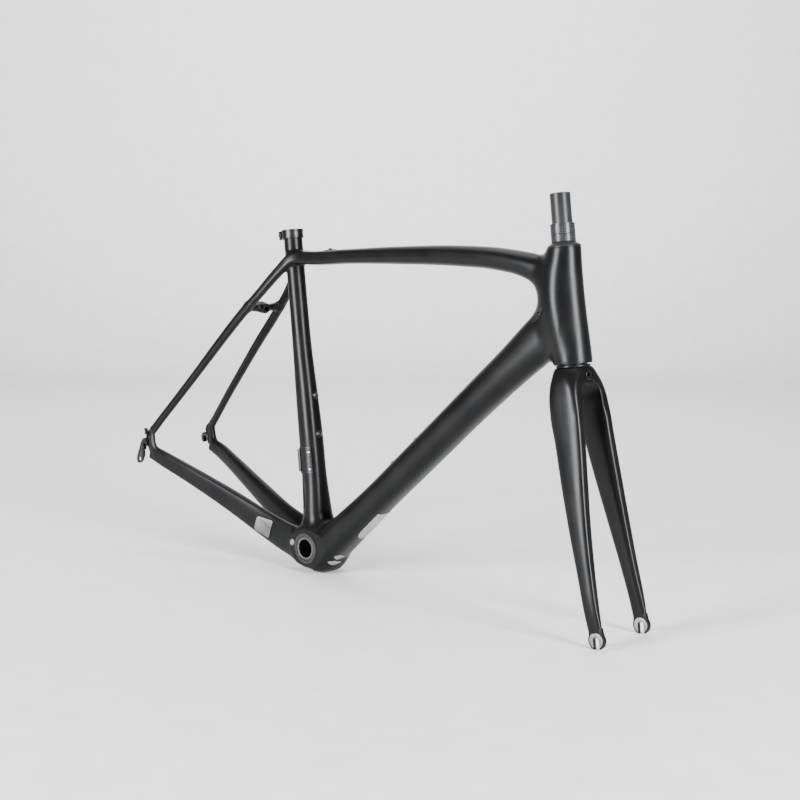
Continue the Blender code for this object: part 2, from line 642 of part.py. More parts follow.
def build_bottom_bracket():
    """Press-in cups with the spindle bearings, and the dust sleeve between them."""
    for word, hand in SIDES.items():
        out = LEFT * hand
        face = out * BB_SHELL_HALF_WIDTH
        cup = ((25.2, 0.2), (25.2, 1.4), (BB_BEARING_RADIUS + 0.3, 1.4), (BB_BEARING_RADIUS + 0.3, -7.4),
               (17.5, -7.4), (17.5, -9.6), (BB_SHELL_BORE_RADIUS - 0.3, -9.6),
               (BB_SHELL_BORE_RADIUS - 0.3, 0.2))
        turned("bb_cup_" + word, cup, face, out, ROUND_SIDES, BLACK_ALLOY)
        ring("bb_outer_race_" + word, 19.2, BB_BEARING_RADIUS, -7.1, 0.9, face, out, ROUND_SIDES, STEEL)
        ring("bb_ball_ring_" + word, 17.7, 18.9, -5.4, -0.6, face, out, ROUND_SIDES, BLACK_PLASTIC)
        ring("bb_inner_race_" + word, SPINDLE_BORE_RADIUS, 17.4, -7.1, 0.9, face, out, ROUND_SIDES, STEEL)
    inset = BB_SHELL_HALF_WIDTH - 10.0
    ring("bb_dust_sleeve", 18.4, 19.6, -inset, inset, Vector(), LEFT, ROUND_SIDES, BLACK_PLASTIC)


# ---------------------------------------------------------------- headset

def build_headset():
    """Two drop-in bearings, the wedge, cover and spacers above, and the crown race below."""
    for word, (low, high), radii in (("upper", UPPER_BEARING, (16.2, 17.6, 17.9, 19.0, 19.3, 20.9)),
                                     ("lower", LOWER_BEARING, (20.0, 21.3, 21.6, 22.7, 23.0, 24.4))):
        ring("headset_%s_inner_race" % word, radii[0], radii[1], low, high, HEAD_BOTTOM, STEER_UP, ROUND_SIDES, STEEL)
        ring("headset_%s_ball_ring" % word, radii[2], radii[3], low + 1.5, high - 1.5, HEAD_BOTTOM, STEER_UP,
             ROUND_SIDES, BLACK_PLASTIC)
        ring("headset_%s_outer_race" % word, radii[4], radii[5], low, high, HEAD_BOTTOM, STEER_UP, ROUND_SIDES, STEEL)
    top = HEAD_TUBE_LENGTH
    bore = STEERER_RADIUS + GAP
    wedge = ((15.9, top - 6.0), (15.9, top - 0.2), (17.6, top - 0.2), (17.6, top + 1.2), (bore, top + 1.2),
             (bore, top - 6.0))
    turned("headset_compression_ring", wedge, HEAD_BOTTOM, STEER_UP, ROUND_SIDES, BLACK_ALLOY)
    cover = ((23.4, top + 0.5), (23.0, top + 2.4), (20.6, top + 5.4), (18.0, top + 7.3), (17.0, top + 8.0),
             (bore, top + 8.0), (bore, top + 1.6), (21.6, top + 1.6), (22.2, top + 0.5))
    turned("headset_top_cover", cover, HEAD_BOTTOM, STEER_UP, ROUND_SIDES, BLACK_PLASTIC)
    low = top + 8.3
    for word, height in (("lower", 10.2), ("upper", 14.6)):
        ring("steerer_spacer_" + word, bore, 17.1, low, low + height, HEAD_BOTTOM, STEER_UP, ROUND_SIDES, CARBON)
        low += height + GAP
    race = ((23.6, 0.3), (24.2, 1.2), (23.6, 3.4), (19.7, 3.4), (19.7, 9.6),
            (STEERER_BASE_RADIUS + GAP, 9.6), (STEERER_BASE_RADIUS + GAP, 0.3))
    turned("headset_crown_race", race, CROWN_SEAT, STEER_UP, ROUND_SIDES, BLACK_ALLOY)


# ---------------------------------------------------------------- fork

def fork_stations(table, hand=1.0):
    return np.array([(*fork_point(up, forward, side * hand), *rest) for up, forward, side, *rest in table])


def build_fork():
    """Steerer bonded in the crown, two blades with aluminium tips, and the brake bolt sleeve."""
    top = CROWN_GAP + HEAD_TUBE_LENGTH + STEERER_ABOVE_HEAD_TUBE
    base = STEERER_BASE_RADIUS
    steerer = ((base, -15.7), (base, 14.0), (16.2, 38.0), (STEERER_RADIUS, 62.0), (STEERER_RADIUS, top),
               (STEERER_BORE_RADIUS, top), (STEERER_BORE_RADIUS, 60.0), (13.6, 14.0), (13.6, -15.7))
    turned("fork_steerer", steerer, CROWN_SEAT, STEER_UP, ROUND_SIDES, CARBON)
    crown_table = [(up, forward, 0.0, side, depth, power) for up, forward, side, depth, power in CROWN]
    crown = solid_tube("fork_crown", fork_stations(crown_table), ROUND_SIDES, 0.0, CARBON)
    socket = make_tool(rod("crown_socket", fork_point(-16.0, 0.0), fork_point(5.0, 0.0), base + GAP, ROUND_SIDES))
    vent = make_tool(rod("crown_vent", fork_point(-40.0, 0.0), fork_point(5.0, 0.0), 9.0, SMALL_SIDES))
    arch = arc((0.0, ARCH_TOP - ARCH_RADIUS), ARCH_RADIUS, 0.0, 180.0, 10)
    arch += [(-ARCH_RADIUS, -60.0), (ARCH_RADIUS, -60.0)]
    tunnel = make_tool(plate("crown_tunnel", arch, LEFT, STEER_UP, STEER_FORWARD, (-60.0, 60.0), CROWN_SEAT,
                             None))
    hole = fork_point(CROWN_HOLE_HEIGHT, 0.0)
    reach = STEER_FORWARD * 60.0
    bore = make_tool(rod("crown_brake_bore", hole - reach, hole + reach, CROWN_HOLE_RADIUS, SMALL_SIDES))
    for tool in (socket, vent, tunnel, bore):
        combine(crown, tool)
    combine(item_named("fork_steerer"), bore)
    ring("crown_brake_sleeve", 3.1, CROWN_HOLE_RADIUS - GAP, 18.5, 26.4, hole, STEER_FORWARD, SMALL_SIDES, BLACK_ALLOY)
    slot = FRONT_SLOT_WIDTH / 2
    neck = 11.2
    tip_top = BLADE[-1][0] - 6 * GAP
    centre = fork_point(TIP_HEIGHT, FORK_RAKE)
    for word, hand in SIDES.items():
        stations = fair(fork_stations(BLADE, hand), 9)
        hollow_tube("fork_blade_" + word, stations, SMALL_SIDES, TUBE_WALL, CARBON)
        rise = tip_top - TIP_HEIGHT
        mouth = math.degrees(math.acos(slot / FORK_TIP_RADIUS))
        outline = [(slot, -FORK_TIP_RADIUS * math.sin(math.radians(mouth)))]
        outline += arc((0.0, 0.0), FORK_TIP_RADIUS, -mouth, 30.0, 7)[1:]
        outline += [(neck, rise), (-neck, rise)]
        outline += arc((0.0, 0.0), FORK_TIP_RADIUS, 150.0, 180.0 + mouth, 7)
        outline += arc((0.0, 0.0), slot, 180.0, 0.0, 8)
        inner = FRONT_SPACING / 2 * hand
        layer = sorted((inner, inner + 7.0 * hand))
        plate("fork_tip_" + word, outline, STEER_FORWARD, STEER_UP, LEFT, layer, centre, ALUMINIUM)


# ---------------------------------------------------------------- build

clear_scene()
STANCE = bpy.data.objects.new("stance", None)
STANCE.rotation_euler = (0.0, STANCE_PITCH, 0.0)
STANCE.location = (BB_CENTRE_X * MM, 0.0, BB_HEIGHT * MM)
bpy.context.scene.collection.objects.link(STANCE)
CARBON = make_material("satin carbon", (0.012, 0.012, 0.013), 0.42, 0.0)
BLACK_ALLOY = make_material("black alloy", (0.02, 0.02, 0.022), 0.35, 0.6)
BLACK_STEEL = make_material("black steel", (0.03, 0.03, 0.03), 0.4, 0.8)
BLACK_PLASTIC = make_material("black plastic", (0.015, 0.015, 0.016), 0.45, 0.0)
ALUMINIUM = make_material("brushed aluminium", (0.62, 0.62, 0.60), 0.35, 1.0)
STEEL = make_material("steel", (0.55, 0.55, 0.53), 0.3, 1.0)
STATIONS, TUBES, ENVELOPES = build_tubes()
build_brake_bridge(ENVELOPES)
build_dropouts(ENVELOPES)
build_seat_clamp()
build_bottle_bolts(TUBES)
build_front_derailleur_mount()
build_small_parts()
build_bottom_bracket()
build_headset()
build_fork()
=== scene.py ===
"""A carbon road frameset standing on its bottom bracket and fork tips, on a pale studio floor.

Shapes are given in millimetres in riding posture: x forward, y left, z up, origin at the bottom
bracket centre. to_row() pitches them into the standing pose that the CAD has.
"""
import math

import bmesh
import bpy
import numpy as np
from mathutils import Matrix, Vector


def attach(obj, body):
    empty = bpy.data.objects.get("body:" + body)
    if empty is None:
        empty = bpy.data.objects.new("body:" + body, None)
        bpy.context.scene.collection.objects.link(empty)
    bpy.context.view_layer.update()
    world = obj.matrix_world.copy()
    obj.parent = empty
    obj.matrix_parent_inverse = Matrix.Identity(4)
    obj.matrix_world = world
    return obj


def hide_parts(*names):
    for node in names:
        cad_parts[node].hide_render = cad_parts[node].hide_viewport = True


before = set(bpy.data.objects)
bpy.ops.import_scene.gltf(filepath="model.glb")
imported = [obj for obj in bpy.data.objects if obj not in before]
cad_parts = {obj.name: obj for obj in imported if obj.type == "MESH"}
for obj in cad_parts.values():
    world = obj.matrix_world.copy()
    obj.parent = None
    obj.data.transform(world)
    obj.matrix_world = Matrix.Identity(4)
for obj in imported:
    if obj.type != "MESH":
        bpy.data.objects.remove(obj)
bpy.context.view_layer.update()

MM = 0.001
FAR = 60.0
SEGMENTS = 96
FRAME_CELL = 2.3
FORK_CELL = 1.75

# ---------------------------------------------------------------- geometry shared with the CAD

HEAD_ANGLE = math.radians(73.6)
SEAT_ANGLE = math.radians(73.6)
STEER_UP = np.array([-math.cos(HEAD_ANGLE), 0.0, math.sin(HEAD_ANGLE)])
STEER_FORWARD = np.array([math.sin(HEAD_ANGLE), 0.0, math.cos(HEAD_ANGLE)])
SEAT_UP = np.array([-math.cos(SEAT_ANGLE), 0.0, math.sin(SEAT_ANGLE)])
SEAT_FORWARD = np.array([math.sin(SEAT_ANGLE), 0.0, math.cos(SEAT_ANGLE)])
LEFT = np.array([0.0, 1.0, 0.0])
FORWARD = np.array([1.0, 0.0, 0.0])
UP = np.array([0.0, 0.0, 1.0])
BB_DROP = 70.0
REAR_AXLE = np.array([-math.sqrt(407.0**2 - BB_DROP**2), 0.0, BB_DROP])
FRONT_AXLE = np.array([591.5, 0.0, BB_DROP])
FORK_RAKE = 43.0
TIP_HEIGHT = -math.sqrt(369.0**2 - FORK_RAKE**2)
CROWN_SEAT = FRONT_AXLE - STEER_FORWARD * FORK_RAKE - STEER_UP * TIP_HEIGHT
HEAD_GAP = 4.9
HEAD_BOTTOM = CROWN_SEAT + STEER_UP * HEAD_GAP
HEAD_LENGTH = 160.0
SETBACK = 3.5
BB_HEIGHT = 42.0
PITCH = (math.atan2(BB_DROP, FRONT_AXLE[0])
         + math.asin((BB_HEIGHT - 12.62) / np.linalg.norm(FRONT_AXLE)))
LEVEL = np.array([math.cos(PITCH), 0.0, math.sin(PITCH)])
PLUMB = np.array([-math.sin(PITCH), 0.0, math.cos(PITCH)])
BB_CENTRE = np.array([-100.4, 0.0, BB_HEIGHT])
SIDES = {"right": -1.0, "left": 1.0}

# x, y, z, half side, half depth, section power (2 is an ellipse)
TOP_TUBE = (
    (-140, 0, 458.5, 15.8, 10.3, 3.6),
    (-90, 0, 465.6, 17.0, 11.2, 3.6),
    (-10, 0, 482.6, 18.3, 11.8, 3.1),
    (96, 0, 503.2, 19.5, 13.7, 2.6),
    (216, 0, 523.6, 21.0, 15.5, 2.4),
    (291, 0, 532.4, 22.0, 16.4, 2.3),
    (337, 0, 533.4, 22.0, 17.8, 2.2),
    (365, 0, 530.6, 21.5, 20.8, 2.2),
    (402, 0, 520.0, 20.0, 30.0, 2.2),
    (430, 0, 508.0, 19.0, 33.0, 2.2),
)
DOWN_TUBE = (
    (8, 0, -12.0, 33.5, 29.0, 2.6),
    (34, 0, 18.0, 33.5, 28.5, 2.5),
    (70, 0, 60.5, 31.5, 26.5, 2.4),
    (106, 0, 103.0, 29.5, 24.8, 2.4),
    (196, 0, 211.0, 27.5, 25.2, 2.4),
    (297, 0, 332.5, 27.0, 26.6, 2.3),
    (352, 0, 396.5, 25.5, 29.5, 2.2),
    (384, 0, 434.0, 23.5, 33.0, 2.2),
    (412, 0, 466.0, 20.5, 35.0, 2.2),
    (440, 0, 498.0, 19.0, 36.0, 2.2),
)
# distance up the seat tube, forward shift, half side, half depth, power
SEAT_TUBE = (
    (0, 0.0, 27.5, 25.0, 2.4),
    (20, 0.0, 27.0, 24.0, 2.4),
    (60, 0.0, 23.5, 22.0, 2.3),
    (110, -0.5, 19.5, 20.6, 2.3),
    (190, -0.8, 18.6, 19.6, 2.3),
    (255, -2.2, 17.0, 18.3, 2.2),
    (330, -SETBACK, 15.4, 15.9, 2.1),
    (400, -SETBACK, 15.2, 15.2, 2.0),
    (505, -SETBACK, 15.1, 15.1, 2.0),
)
CHAINSTAY = (
    (-384, 68.4, 62.6, 4.3, 12.8, 3.8),
    (-350, 65.2, 57.5, 5.8, 14.2, 3.6),
    (-300, 56.6, 48.3, 7.4, 15.1, 3.4),
    (-240, 45.8, 35.9, 8.4, 17.2, 3.2),
    (-180, 35.9, 22.7, 9.0, 20.0, 2.9),
    (-110, 27.5, 7.0, 8.5, 23.5, 2.5),
    (-55, 24.5, -1.0, 9.0, 26.0, 2.5),
    (-20, 24.5, -2.0, 9.0, 26.5, 2.5),
)
SEATSTAY = (
    (-385.5, 68.0, 101.0, 4.5, 7.6, 2.4),
    (-368.6, 64.8, 126.0, 5.6, 7.0, 2.3),
    (-338.9, 58.8, 169.0, 6.0, 6.8, 2.3),
    (-298.1, 51.8, 227.0, 6.3, 7.0, 2.4),
    (-256.9, 45.5, 286.0, 6.6, 7.4, 2.5),
    (-216.0, 40.0, 342.0, 6.8, 7.6, 2.6),
    (-178.5, 31.0, 392.5, 6.8, 7.2, 2.8),
    (-150.0, 20.0, 434.5, 7.2, 8.0, 3.1),
    (-134.0, 13.5, 455.0, 7.0, 8.5, 3.2),
    (-116.0, 6.0, 465.0, 5.0, 5.5, 2.6),
)
UPRIGHT = (
    (-385.0, 67.6, 108.0, 3.2, 4.0, 2.0),
    (-387.5, 68.4, 96.0, 4.2, 7.4, 1.7),
    (-385.0, 68.8, 84.0, 4.6, 8.6, 1.5),
    (-378.0, 68.6, 70.0, 4.4, 8.6, 1.6),
    (-368.0, 67.6, 58.0, 3.6, 7.0, 1.9),
)
KEEL = (
    (-48, 0, -15.0, 20.0, 11.0, 2.4),
    (-26, 0, -17.5, 27.0, 19.0, 2.4),
    (0, 0, -18.5, 30.0, 21.5, 2.4),
    (20, 0, -16.5, 28.0, 20.5, 2.3),
    (38, 0, -8.0, 22.0, 15.5, 2.2),
)
HEAD_PROFILE = ((26.5, 0.0), (26.9, 3.0), (26.5, 18.0), (25.3, 42.0), (23.8, 70.0), (22.9, 98.0),
                (22.7, 125.0), (23.2, 148.0), (23.6, 157.0), (23.3, 160.0))
# fork: height above the crown seat, forward shift, side, half side, half depth, power
CROWN = (
    (0.0, 0.0, 0.0, 25.8, 25.6, 2.0),
    (-4.0, 0.0, 0.0, 29.2, 26.2, 2.15),
    (-12.0, 0.4, 0.0, 33.6, 26.8, 2.5),
    (-22.0, 1.2, 0.0, 37.2, 27.0, 3.2),
    (-34.0, 2.6, 0.0, 39.4, 26.8, 4.0),
    (-46.0, 3.9, 0.0, 40.2, 26.0, 4.6),
    (-60.0, 5.5, 0.0, 39.8, 24.5, 4.8),
    (-76.0, 7.3, 0.0, 36.5, 21.0, 4.6),
    (-92.0, 9.1, 0.0, 30.0, 15.0, 4.0),
)
BLADE = (
    (-20.0, 1.0, 24.0, 7.0, 20.0, 2.3),
    (-40.0, 3.2, 29.4, 9.4, 24.5, 2.6),
    (-60.0, 5.5, 31.7, 10.0, 26.2, 2.6),
    (-100.0, 10.0, 34.2, 10.4, 24.2, 2.6),
    (-160.0, 16.3, 40.0, 10.2, 20.7, 2.6),
    (-220.0, 23.4, 45.7, 9.4, 16.9, 2.5),
    (-280.0, 31.4, 50.3, 8.2, 13.6, 2.4),
    (-330.0, 38.2, 53.6, 6.4, 12.0, 2.4),
    (-358.0, 41.8, 53.6, 3.5, 11.2, 2.6),
)


def to_row(points):
    """Millimetres in riding posture to metres in the standing pose."""
    points = np.asarray(points, dtype=float)
    x = points[..., 0] * math.cos(PITCH) + points[..., 2] * math.sin(PITCH)
    z = points[..., 2] * math.cos(PITCH) - points[..., 0] * math.sin(PITCH)
    turned_points = np.stack([x, points[..., 1], z], axis=-1)
    return (turned_points + BB_CENTRE) * MM


def seat_point(up, forward, side=0.0):
    return SEAT_UP * up + SEAT_FORWARD * forward + LEFT * side


def fork_point(up, forward, side=0.0):
    return CROWN_SEAT + STEER_UP * up + STEER_FORWARD * forward + LEFT * side


def mirrored(stations, hand):
    return [(x, y * hand, z, *rest) for x, y, z, *rest in stations]


# ---------------------------------------------------------------- smooth fields

def fair(stations, rings):
    """Pass a smooth curve through the stations and read evenly spaced ones from it."""
    table = np.array(stations, dtype=float)
    steps = np.linalg.norm(np.diff(table[:, :3], axis=0), axis=1)
    along = np.concatenate([[0.0], np.cumsum(steps)])
    slopes = np.gradient(table, along, axis=0)
    places = np.linspace(0.0, along[-1], rings)
    index = np.clip(np.searchsorted(along, places, side="right") - 1, 0, len(along) - 2)
    span = (along[index + 1] - along[index])[:, None]
    t = (places[:, None] - along[index][:, None]) / span
    start = table[index] * (1 + 2 * t) * (1 - t)**2 + slopes[index] * span * t * (1 - t)**2
    end = table[index + 1] * t**2 * (3 - 2 * t) + slopes[index + 1] * span * t**2 * (t - 1)
    return start + end


def unit(vectors):
    vectors = np.asarray(vectors, dtype=float)
    return vectors / np.maximum(np.linalg.norm(vectors, axis=-1, keepdims=True), 1e-12)


class Tube:
    """A tube of changing section that can say how far points lie outside its skin."""

    def __init__(self, stations, rings=80, end_round=2.0):
        table = fair(stations, rings)
        self.end_round = end_round
        self.centre = table[:, :3]
        self.size = table[:, 3:6]
        ahead = np.vstack([self.centre[1:], self.centre[-1:]])
        behind = np.vstack([self.centre[:1], self.centre[:-1]])
        self.tangent = unit(ahead - behind)
        self.side = unit(LEFT - self.tangent * self.tangent[:, 1:2])
        self.depth = np.cross(self.tangent, self.side)
        self.offset = (self.centre * self.tangent).sum(axis=1)
        reach = self.size[:, :2].max() + 30.0
        self.low = self.centre.min(axis=0) - reach
        self.high = self.centre.max(axis=0) + reach

    def distance(self, points):
        result = np.full(len(points), FAR)
        near = ((points > self.low) & (points < self.high)).all(axis=1)
        if near.any():
            result[near] = self.near_distance(points[near])
        return result

    def near_distance(self, points):
        planes = points @ self.tangent.T - self.offset
        rows = np.arange(len(points))
        index = np.clip((planes > 0.0).sum(axis=1) - 1, 0, len(self.centre) - 2)
        before = planes[rows, index]
        after = planes[rows, index + 1]
        gap = before - after
        t = np.clip(before / np.where(np.abs(gap) < 1e-9, 1.0, gap), 0.0, 1.0)[:, None]
        away = points - (self.centre[index] * (1 - t) + self.centre[index + 1] * t)
        side = (away * (self.side[index] * (1 - t) + self.side[index + 1] * t)).sum(axis=1)
        depth = (away * (self.depth[index] * (1 - t) + self.depth[index + 1] * t)).sum(axis=1)
        size = self.size[index] * (1 - t) + self.size[index + 1] * t
        skin = section_distance(side, depth, size[:, 0], size[:, 1], size[:, 2])
        end = np.maximum(-planes[:, 0], planes[:, -1])
        return -blend_union(-skin, -end, self.end_round)

    def section_point(self, place, angle, grow=0.0):
        """A point on the skin: place runs 0 to 1 along the tube, angle goes round it in radians."""
        where = place * (len(self.centre) - 1)
        index = int(min(max(where, 0), len(self.centre) - 2))
        t = where - index
        size = self.size[index] * (1 - t) + self.size[index + 1] * t
        cosine = math.cos(angle)
        sine = math.sin(angle)
        across = math.copysign(abs(cosine)**(2.0 / size[2]), cosine) * (size[0] + grow)
        deep = math.copysign(abs(sine)**(2.0 / size[2]), sine) * (size[1] + grow)
        centre = self.centre[index] * (1 - t) + self.centre[index + 1] * t
        return centre + self.side[index] * across + self.depth[index] * deep


def section_distance(side, depth, half_side, half_depth, power):
    """Distance outside a rounded section, exact to first order at its skin."""
    across = np.abs(side) / half_side
    deep = np.abs(depth) / half_depth
    level = np.maximum(across**power + deep**power, 1e-9)**(1.0 / power)
    slope = np.hypot((across / level)**(power - 1) / half_side, (deep / level)**(power - 1) / half_depth)
    return (level - 1.0) / slope


def blend_union(one, other, radius):
    share = np.maximum(radius - np.abs(one - other), 0.0) / radius
    return np.minimum(one, other) - share * share * radius * 0.25


def blend_cut(solid, tool, radius):
    """Take a tool away from a solid, with a rounded edge."""
    return -blend_union(-solid, tool, radius)


def cylinder_distance(points, base, axis, radius, low, high):
    away = points - base
    height = away @ axis
    across = np.linalg.norm(away - height[:, None] * axis, axis=1)
    return np.maximum(across - radius, np.maximum(low - height, height - high))


def turned_distance(points, base, axis, profile):
    away = points - base
    height = away @ axis
    across = np.linalg.norm(away - height[:, None] * axis, axis=1)
    radii = [radius for radius, _ in profile]
    heights = [level for _, level in profile]
    ends = np.maximum(heights[0] - height, height - heights[-1])
    return np.maximum(across - np.interp(height, heights, radii), ends)


def polygon_distance(x, z, outline):
    """Signed distance to a flat outline, negative inside it."""
    best = np.full(len(x), 1e9)
    inside = np.zeros(len(x), dtype=bool)
    for (ax, az), (bx, bz) in zip(outline, outline[1:] + outline[:1]):
        ex = bx - ax
        ez = bz - az
        t = np.clip(((x - ax) * ex + (z - az) * ez) / (ex * ex + ez * ez), 0.0, 1.0)
        best = np.minimum(best, np.hypot(x - ax - t * ex, z - az - t * ez))
        crosses = ((az > z) != (bz > z)) & (x < (bx - ax) * (z - az) / np.where(ez == 0, 1e-9, ez) + ax)
        inside ^= crosses
    return np.where(inside, -best, best)


# ---------------------------------------------------------------- the moulded frame

TUBES = {"top": Tube(TOP_TUBE), "down": Tube(DOWN_TUBE), "keel": Tube(KEEL, 24, 12.0)}
TUBES["seat"] = Tube([(*seat_point(up, forward), side, depth, power)
                      for up, forward, side, depth, power in SEAT_TUBE])
for word, hand in SIDES.items():
    TUBES["chainstay_" + word] = Tube(mirrored(CHAINSTAY, hand))
    TUBES["seatstay_" + word] = Tube(mirrored(SEATSTAY, hand))
    TUBES["upright_" + word] = Tube(mirrored(UPRIGHT, hand), 30, 3.0)

BRIDGE_CENTRE = np.array([-203.0, 0.0, 361.0])
BRIDGE_AXIS = unit(SEAT_FORWARD + np.array([0.0, 0.0, -0.35]))
BRIDGE_HALF = 38.0
# the plate that joins the stays, seen from the side: forward and up from the rear axle
WEB = [(15.4, -18.6), (13.8, -11.0), (10.4, -6.6), (6.8, 0.5), (2.0, 8.5), (-2.6, 14.5), (-0.5, 24.0),
       (7.5, 33.0), (15.0, 37.0), (19.5, 33.0), (18.8, 25.1), (23.0, 13.0), (29.0, 1.8), (25.0, -10.0),
       (20.0, -19.0)]
WEB_LAYERS = {"right": (-70.6, -65.2), "left": (65.2, 71.6)}
SCOOP_CENTRE = seat_point(91.0, -9.1, -21.2)
SHELL_LENGTH = 68.0
# every round bore: base, axis, radius, start, end, rounding of its edge
FRAME_BORES = [(seat_point(0.0, -SETBACK), SEAT_UP, 10.8, 340.0, 540.0, 0.5),
               (np.zeros(3), LEFT, 23.4, -60.0, 60.0, 1.0),
               (BRIDGE_CENTRE, BRIDGE_AXIS, 4.1, -60.0, 60.0, 0.8)]
FRAME_BORES += [(HEAD_BOTTOM, STEER_UP, *bore, 0.5) for bore in (
    (18.8, -30.0, 34.0), (16.9, 30.0, 152.0), (23.2, -30.0, 9.0), (19.3, 150.0, 190.0))]


def web_distance(points, word):
    """The moulded plate that joins the stays at the rear axle."""
    low, high = WEB_LAYERS[word]
    centre = (low + high) / 2
    result = np.full(len(points), FAR)
    near = (points[:, 0] < -320.0) & (np.abs(points[:, 1] - centre) < 30.0) & (points[:, 2] < 160.0)
    place = points[near]
    flat = polygon_distance(place[:, 0] - REAR_AXLE[0], place[:, 2] - REAR_AXLE[2], WEB)
    thick = np.abs(place[:, 1] - centre) - (high - low) / 2
    result[near] = -blend_union(-flat, -thick, 2.5)
    return result


def bridge_distance(points):
    """The curved bar between the seatstays, thicker where it meets them."""
    share = np.clip(points[:, 1] / BRIDGE_HALF, -1.0, 1.0)
    fore = points[:, 0] + 205.0 - 2.0 * share**2
    high = points[:, 2] - 359.5 - 3.5 * share**2
    skin = section_distance(fore, high, 5.6 + 2.0 * share**4, 6.2 + 2.2 * share**4, 2.3)
    return np.maximum(skin, np.abs(points[:, 1]) - BRIDGE_HALF)


def cut_bores(solid, points, bores):
    for base, axis, radius, low, high, edge in bores:
        solid = blend_cut(solid, cylinder_distance(points, base, axis, radius, low, high), edge)
    return solid


def frame_field(points):
    """How far points lie outside the whole moulded frame."""
    part = {name: tube.distance(points) for name, tube in TUBES.items()}
    head = turned_distance(points, HEAD_BOTTOM, STEER_UP, HEAD_PROFILE)
    solid = blend_union(part["top"], part["down"], 44.0)
    behind_axis = -2.0 - (points - HEAD_BOTTOM) @ STEER_FORWARD
    solid = -blend_union(-solid, behind_axis, 20.0)
    solid = blend_union(solid, head, 24.0)
    stays = blend_union(part["seatstay_left"], part["seatstay_right"], 7.0)
    bridge = blend_union(bridge_distance(points),
                         cylinder_distance(points, BRIDGE_CENTRE, BRIDGE_AXIS, 8.4, -9.5, 9.0), 9.0)
    stays = blend_union(stays, bridge, 6.0)
    solid = blend_union(solid, stays, 7.0)
    base = cylinder_distance(points, np.zeros(3), LEFT, 30.4, -34.0, 34.0)
    base = blend_union(base, part["keel"], 14.0)
    for name in SIDES:
        plate_field = blend_union(web_distance(points, name), part["upright_" + name], 2.0)
        base = blend_union(base, blend_union(part["chainstay_" + name], plate_field, 3.0), 14.0)
    solid = blend_union(solid, base, np.interp(points[:, 0], (-340.0, -160.0), (3.0, 18.0)))
    height = points @ SEAT_UP
    solid = blend_union(solid, part["seat"], np.interp(height, (120.0, 300.0), (20.0, 4.5)))
    low_end = (points[:, 0] > -75.0) & (points[:, 0] < 120.0) & (points[:, 2] < 90.0)
    trim = np.where(low_end, np.abs(points[:, 1]) - SHELL_LENGTH / 2 - 0.1, -FAR)
    solid = -blend_union(-solid, -trim, 2.5)
    floor = points @ PLUMB + BB_HEIGHT - 1.3
    solid = -blend_union(-solid, floor, 6.0)
    away = points - SCOOP_CENTRE
    stretched = (away @ SEAT_UP / 27.0)**2 + (away @ SEAT_FORWARD / 4.5)**2 + (away[:, 1] / 3.4)**2
    solid = blend_cut(solid, (np.sqrt(stretched) - 1.0) * 3.4, 3.0)
    return cut_bores(solid, points, FRAME_BORES)


# ---------------------------------------------------------------- the moulded fork

def fork_tube(stations, hand=1.0, rings=70):
    placed = [(*fork_point(up, forward, side * hand), *rest) for up, forward, side, *rest in stations]
    return Tube(placed, rings)


CROWN_TUBE = fork_tube(CROWN, 1.0, 40)
BLADES = {word: fork_tube(BLADE, hand) for word, hand in SIDES.items()}
ARCH_CENTRE = -40.0
ARCH_RADIUS = 21.5
BRAKE_HOLE = fork_point(-10.9, 0.0)
FORK_BORES = ((CROWN_SEAT, STEER_UP, 17.6, -15.9, 10.0, 0.6),
              (BRAKE_HOLE, STEER_FORWARD, 4.1, -60.0, 60.0, 0.8))
# how far forward the flat front face lies at each height: it follows the blade down to the tip
FACE_LINE = ((0.0, 22.6), (-60.0, 29.8), (-100.0, 32.6), (-160.0, 35.4), (-220.0, 38.9), (-280.0, 43.9),
             (-330.0, 49.3), (-366.0, 54.5))
FACE_CURVE = np.polyfit([height for height, _ in FACE_LINE], [forward for _, forward in FACE_LINE], 4)


def fork_field(points):
    """How far points lie outside the moulded fork."""
    away = points - CROWN_SEAT
    up = away @ STEER_UP
    forward = away @ STEER_FORWARD
    side = away[:, 1]
    between = np.maximum(np.abs(side) - np.interp(up, (-92.0, -48.0), (36.0, 20.0)), up + 45.0)
    solid = blend_cut(CROWN_TUBE.distance(points), between, 3.0)
    for tube in BLADES.values():
        solid = blend_union(solid, tube.distance(points), 4.0)
    face = forward - np.polyval(FACE_CURVE, np.clip(up, -366.0, 10.0))
    solid = -blend_union(-solid, -face, np.interp(up, (-300.0, -40.0), (2.0, 3.8)))
    arch = np.where(up > ARCH_CENTRE, np.hypot(side, up - ARCH_CENTRE), np.abs(side)) - ARCH_RADIUS
    arch = np.where(up > -110.0, np.maximum(arch, -96.0 - up), FAR)
    solid = blend_cut(solid, arch, 2.2)
    return cut_bores(solid, points, FORK_BORES)


# ---------------------------------------------------------------- surfaces from fields

def in_chunks(field, points, size=60000):
    return np.concatenate([field(points[start:start + size]) for start in range(0, len(points), size)])


def slope_of(field, points, step=0.12):
    slopes = [in_chunks(field, points + axis * step) - in_chunks(field, points - axis * step)
              for axis in np.eye(3)]
    return np.stack(slopes, axis=1) / (2.0 * step)


def settle(field, points, level=0.0, rounds=2):
    """Move points along the slope until they lie on the surface, or that far above it."""
    for _ in range(rounds):
        slope = slope_of(field, points)
        excess = in_chunks(field, points) - level
        size = np.maximum((slope**2).sum(axis=1), 0.05)
        points = points - np.clip(excess / size, -2.0, 2.0)[:, None] * slope
    return points


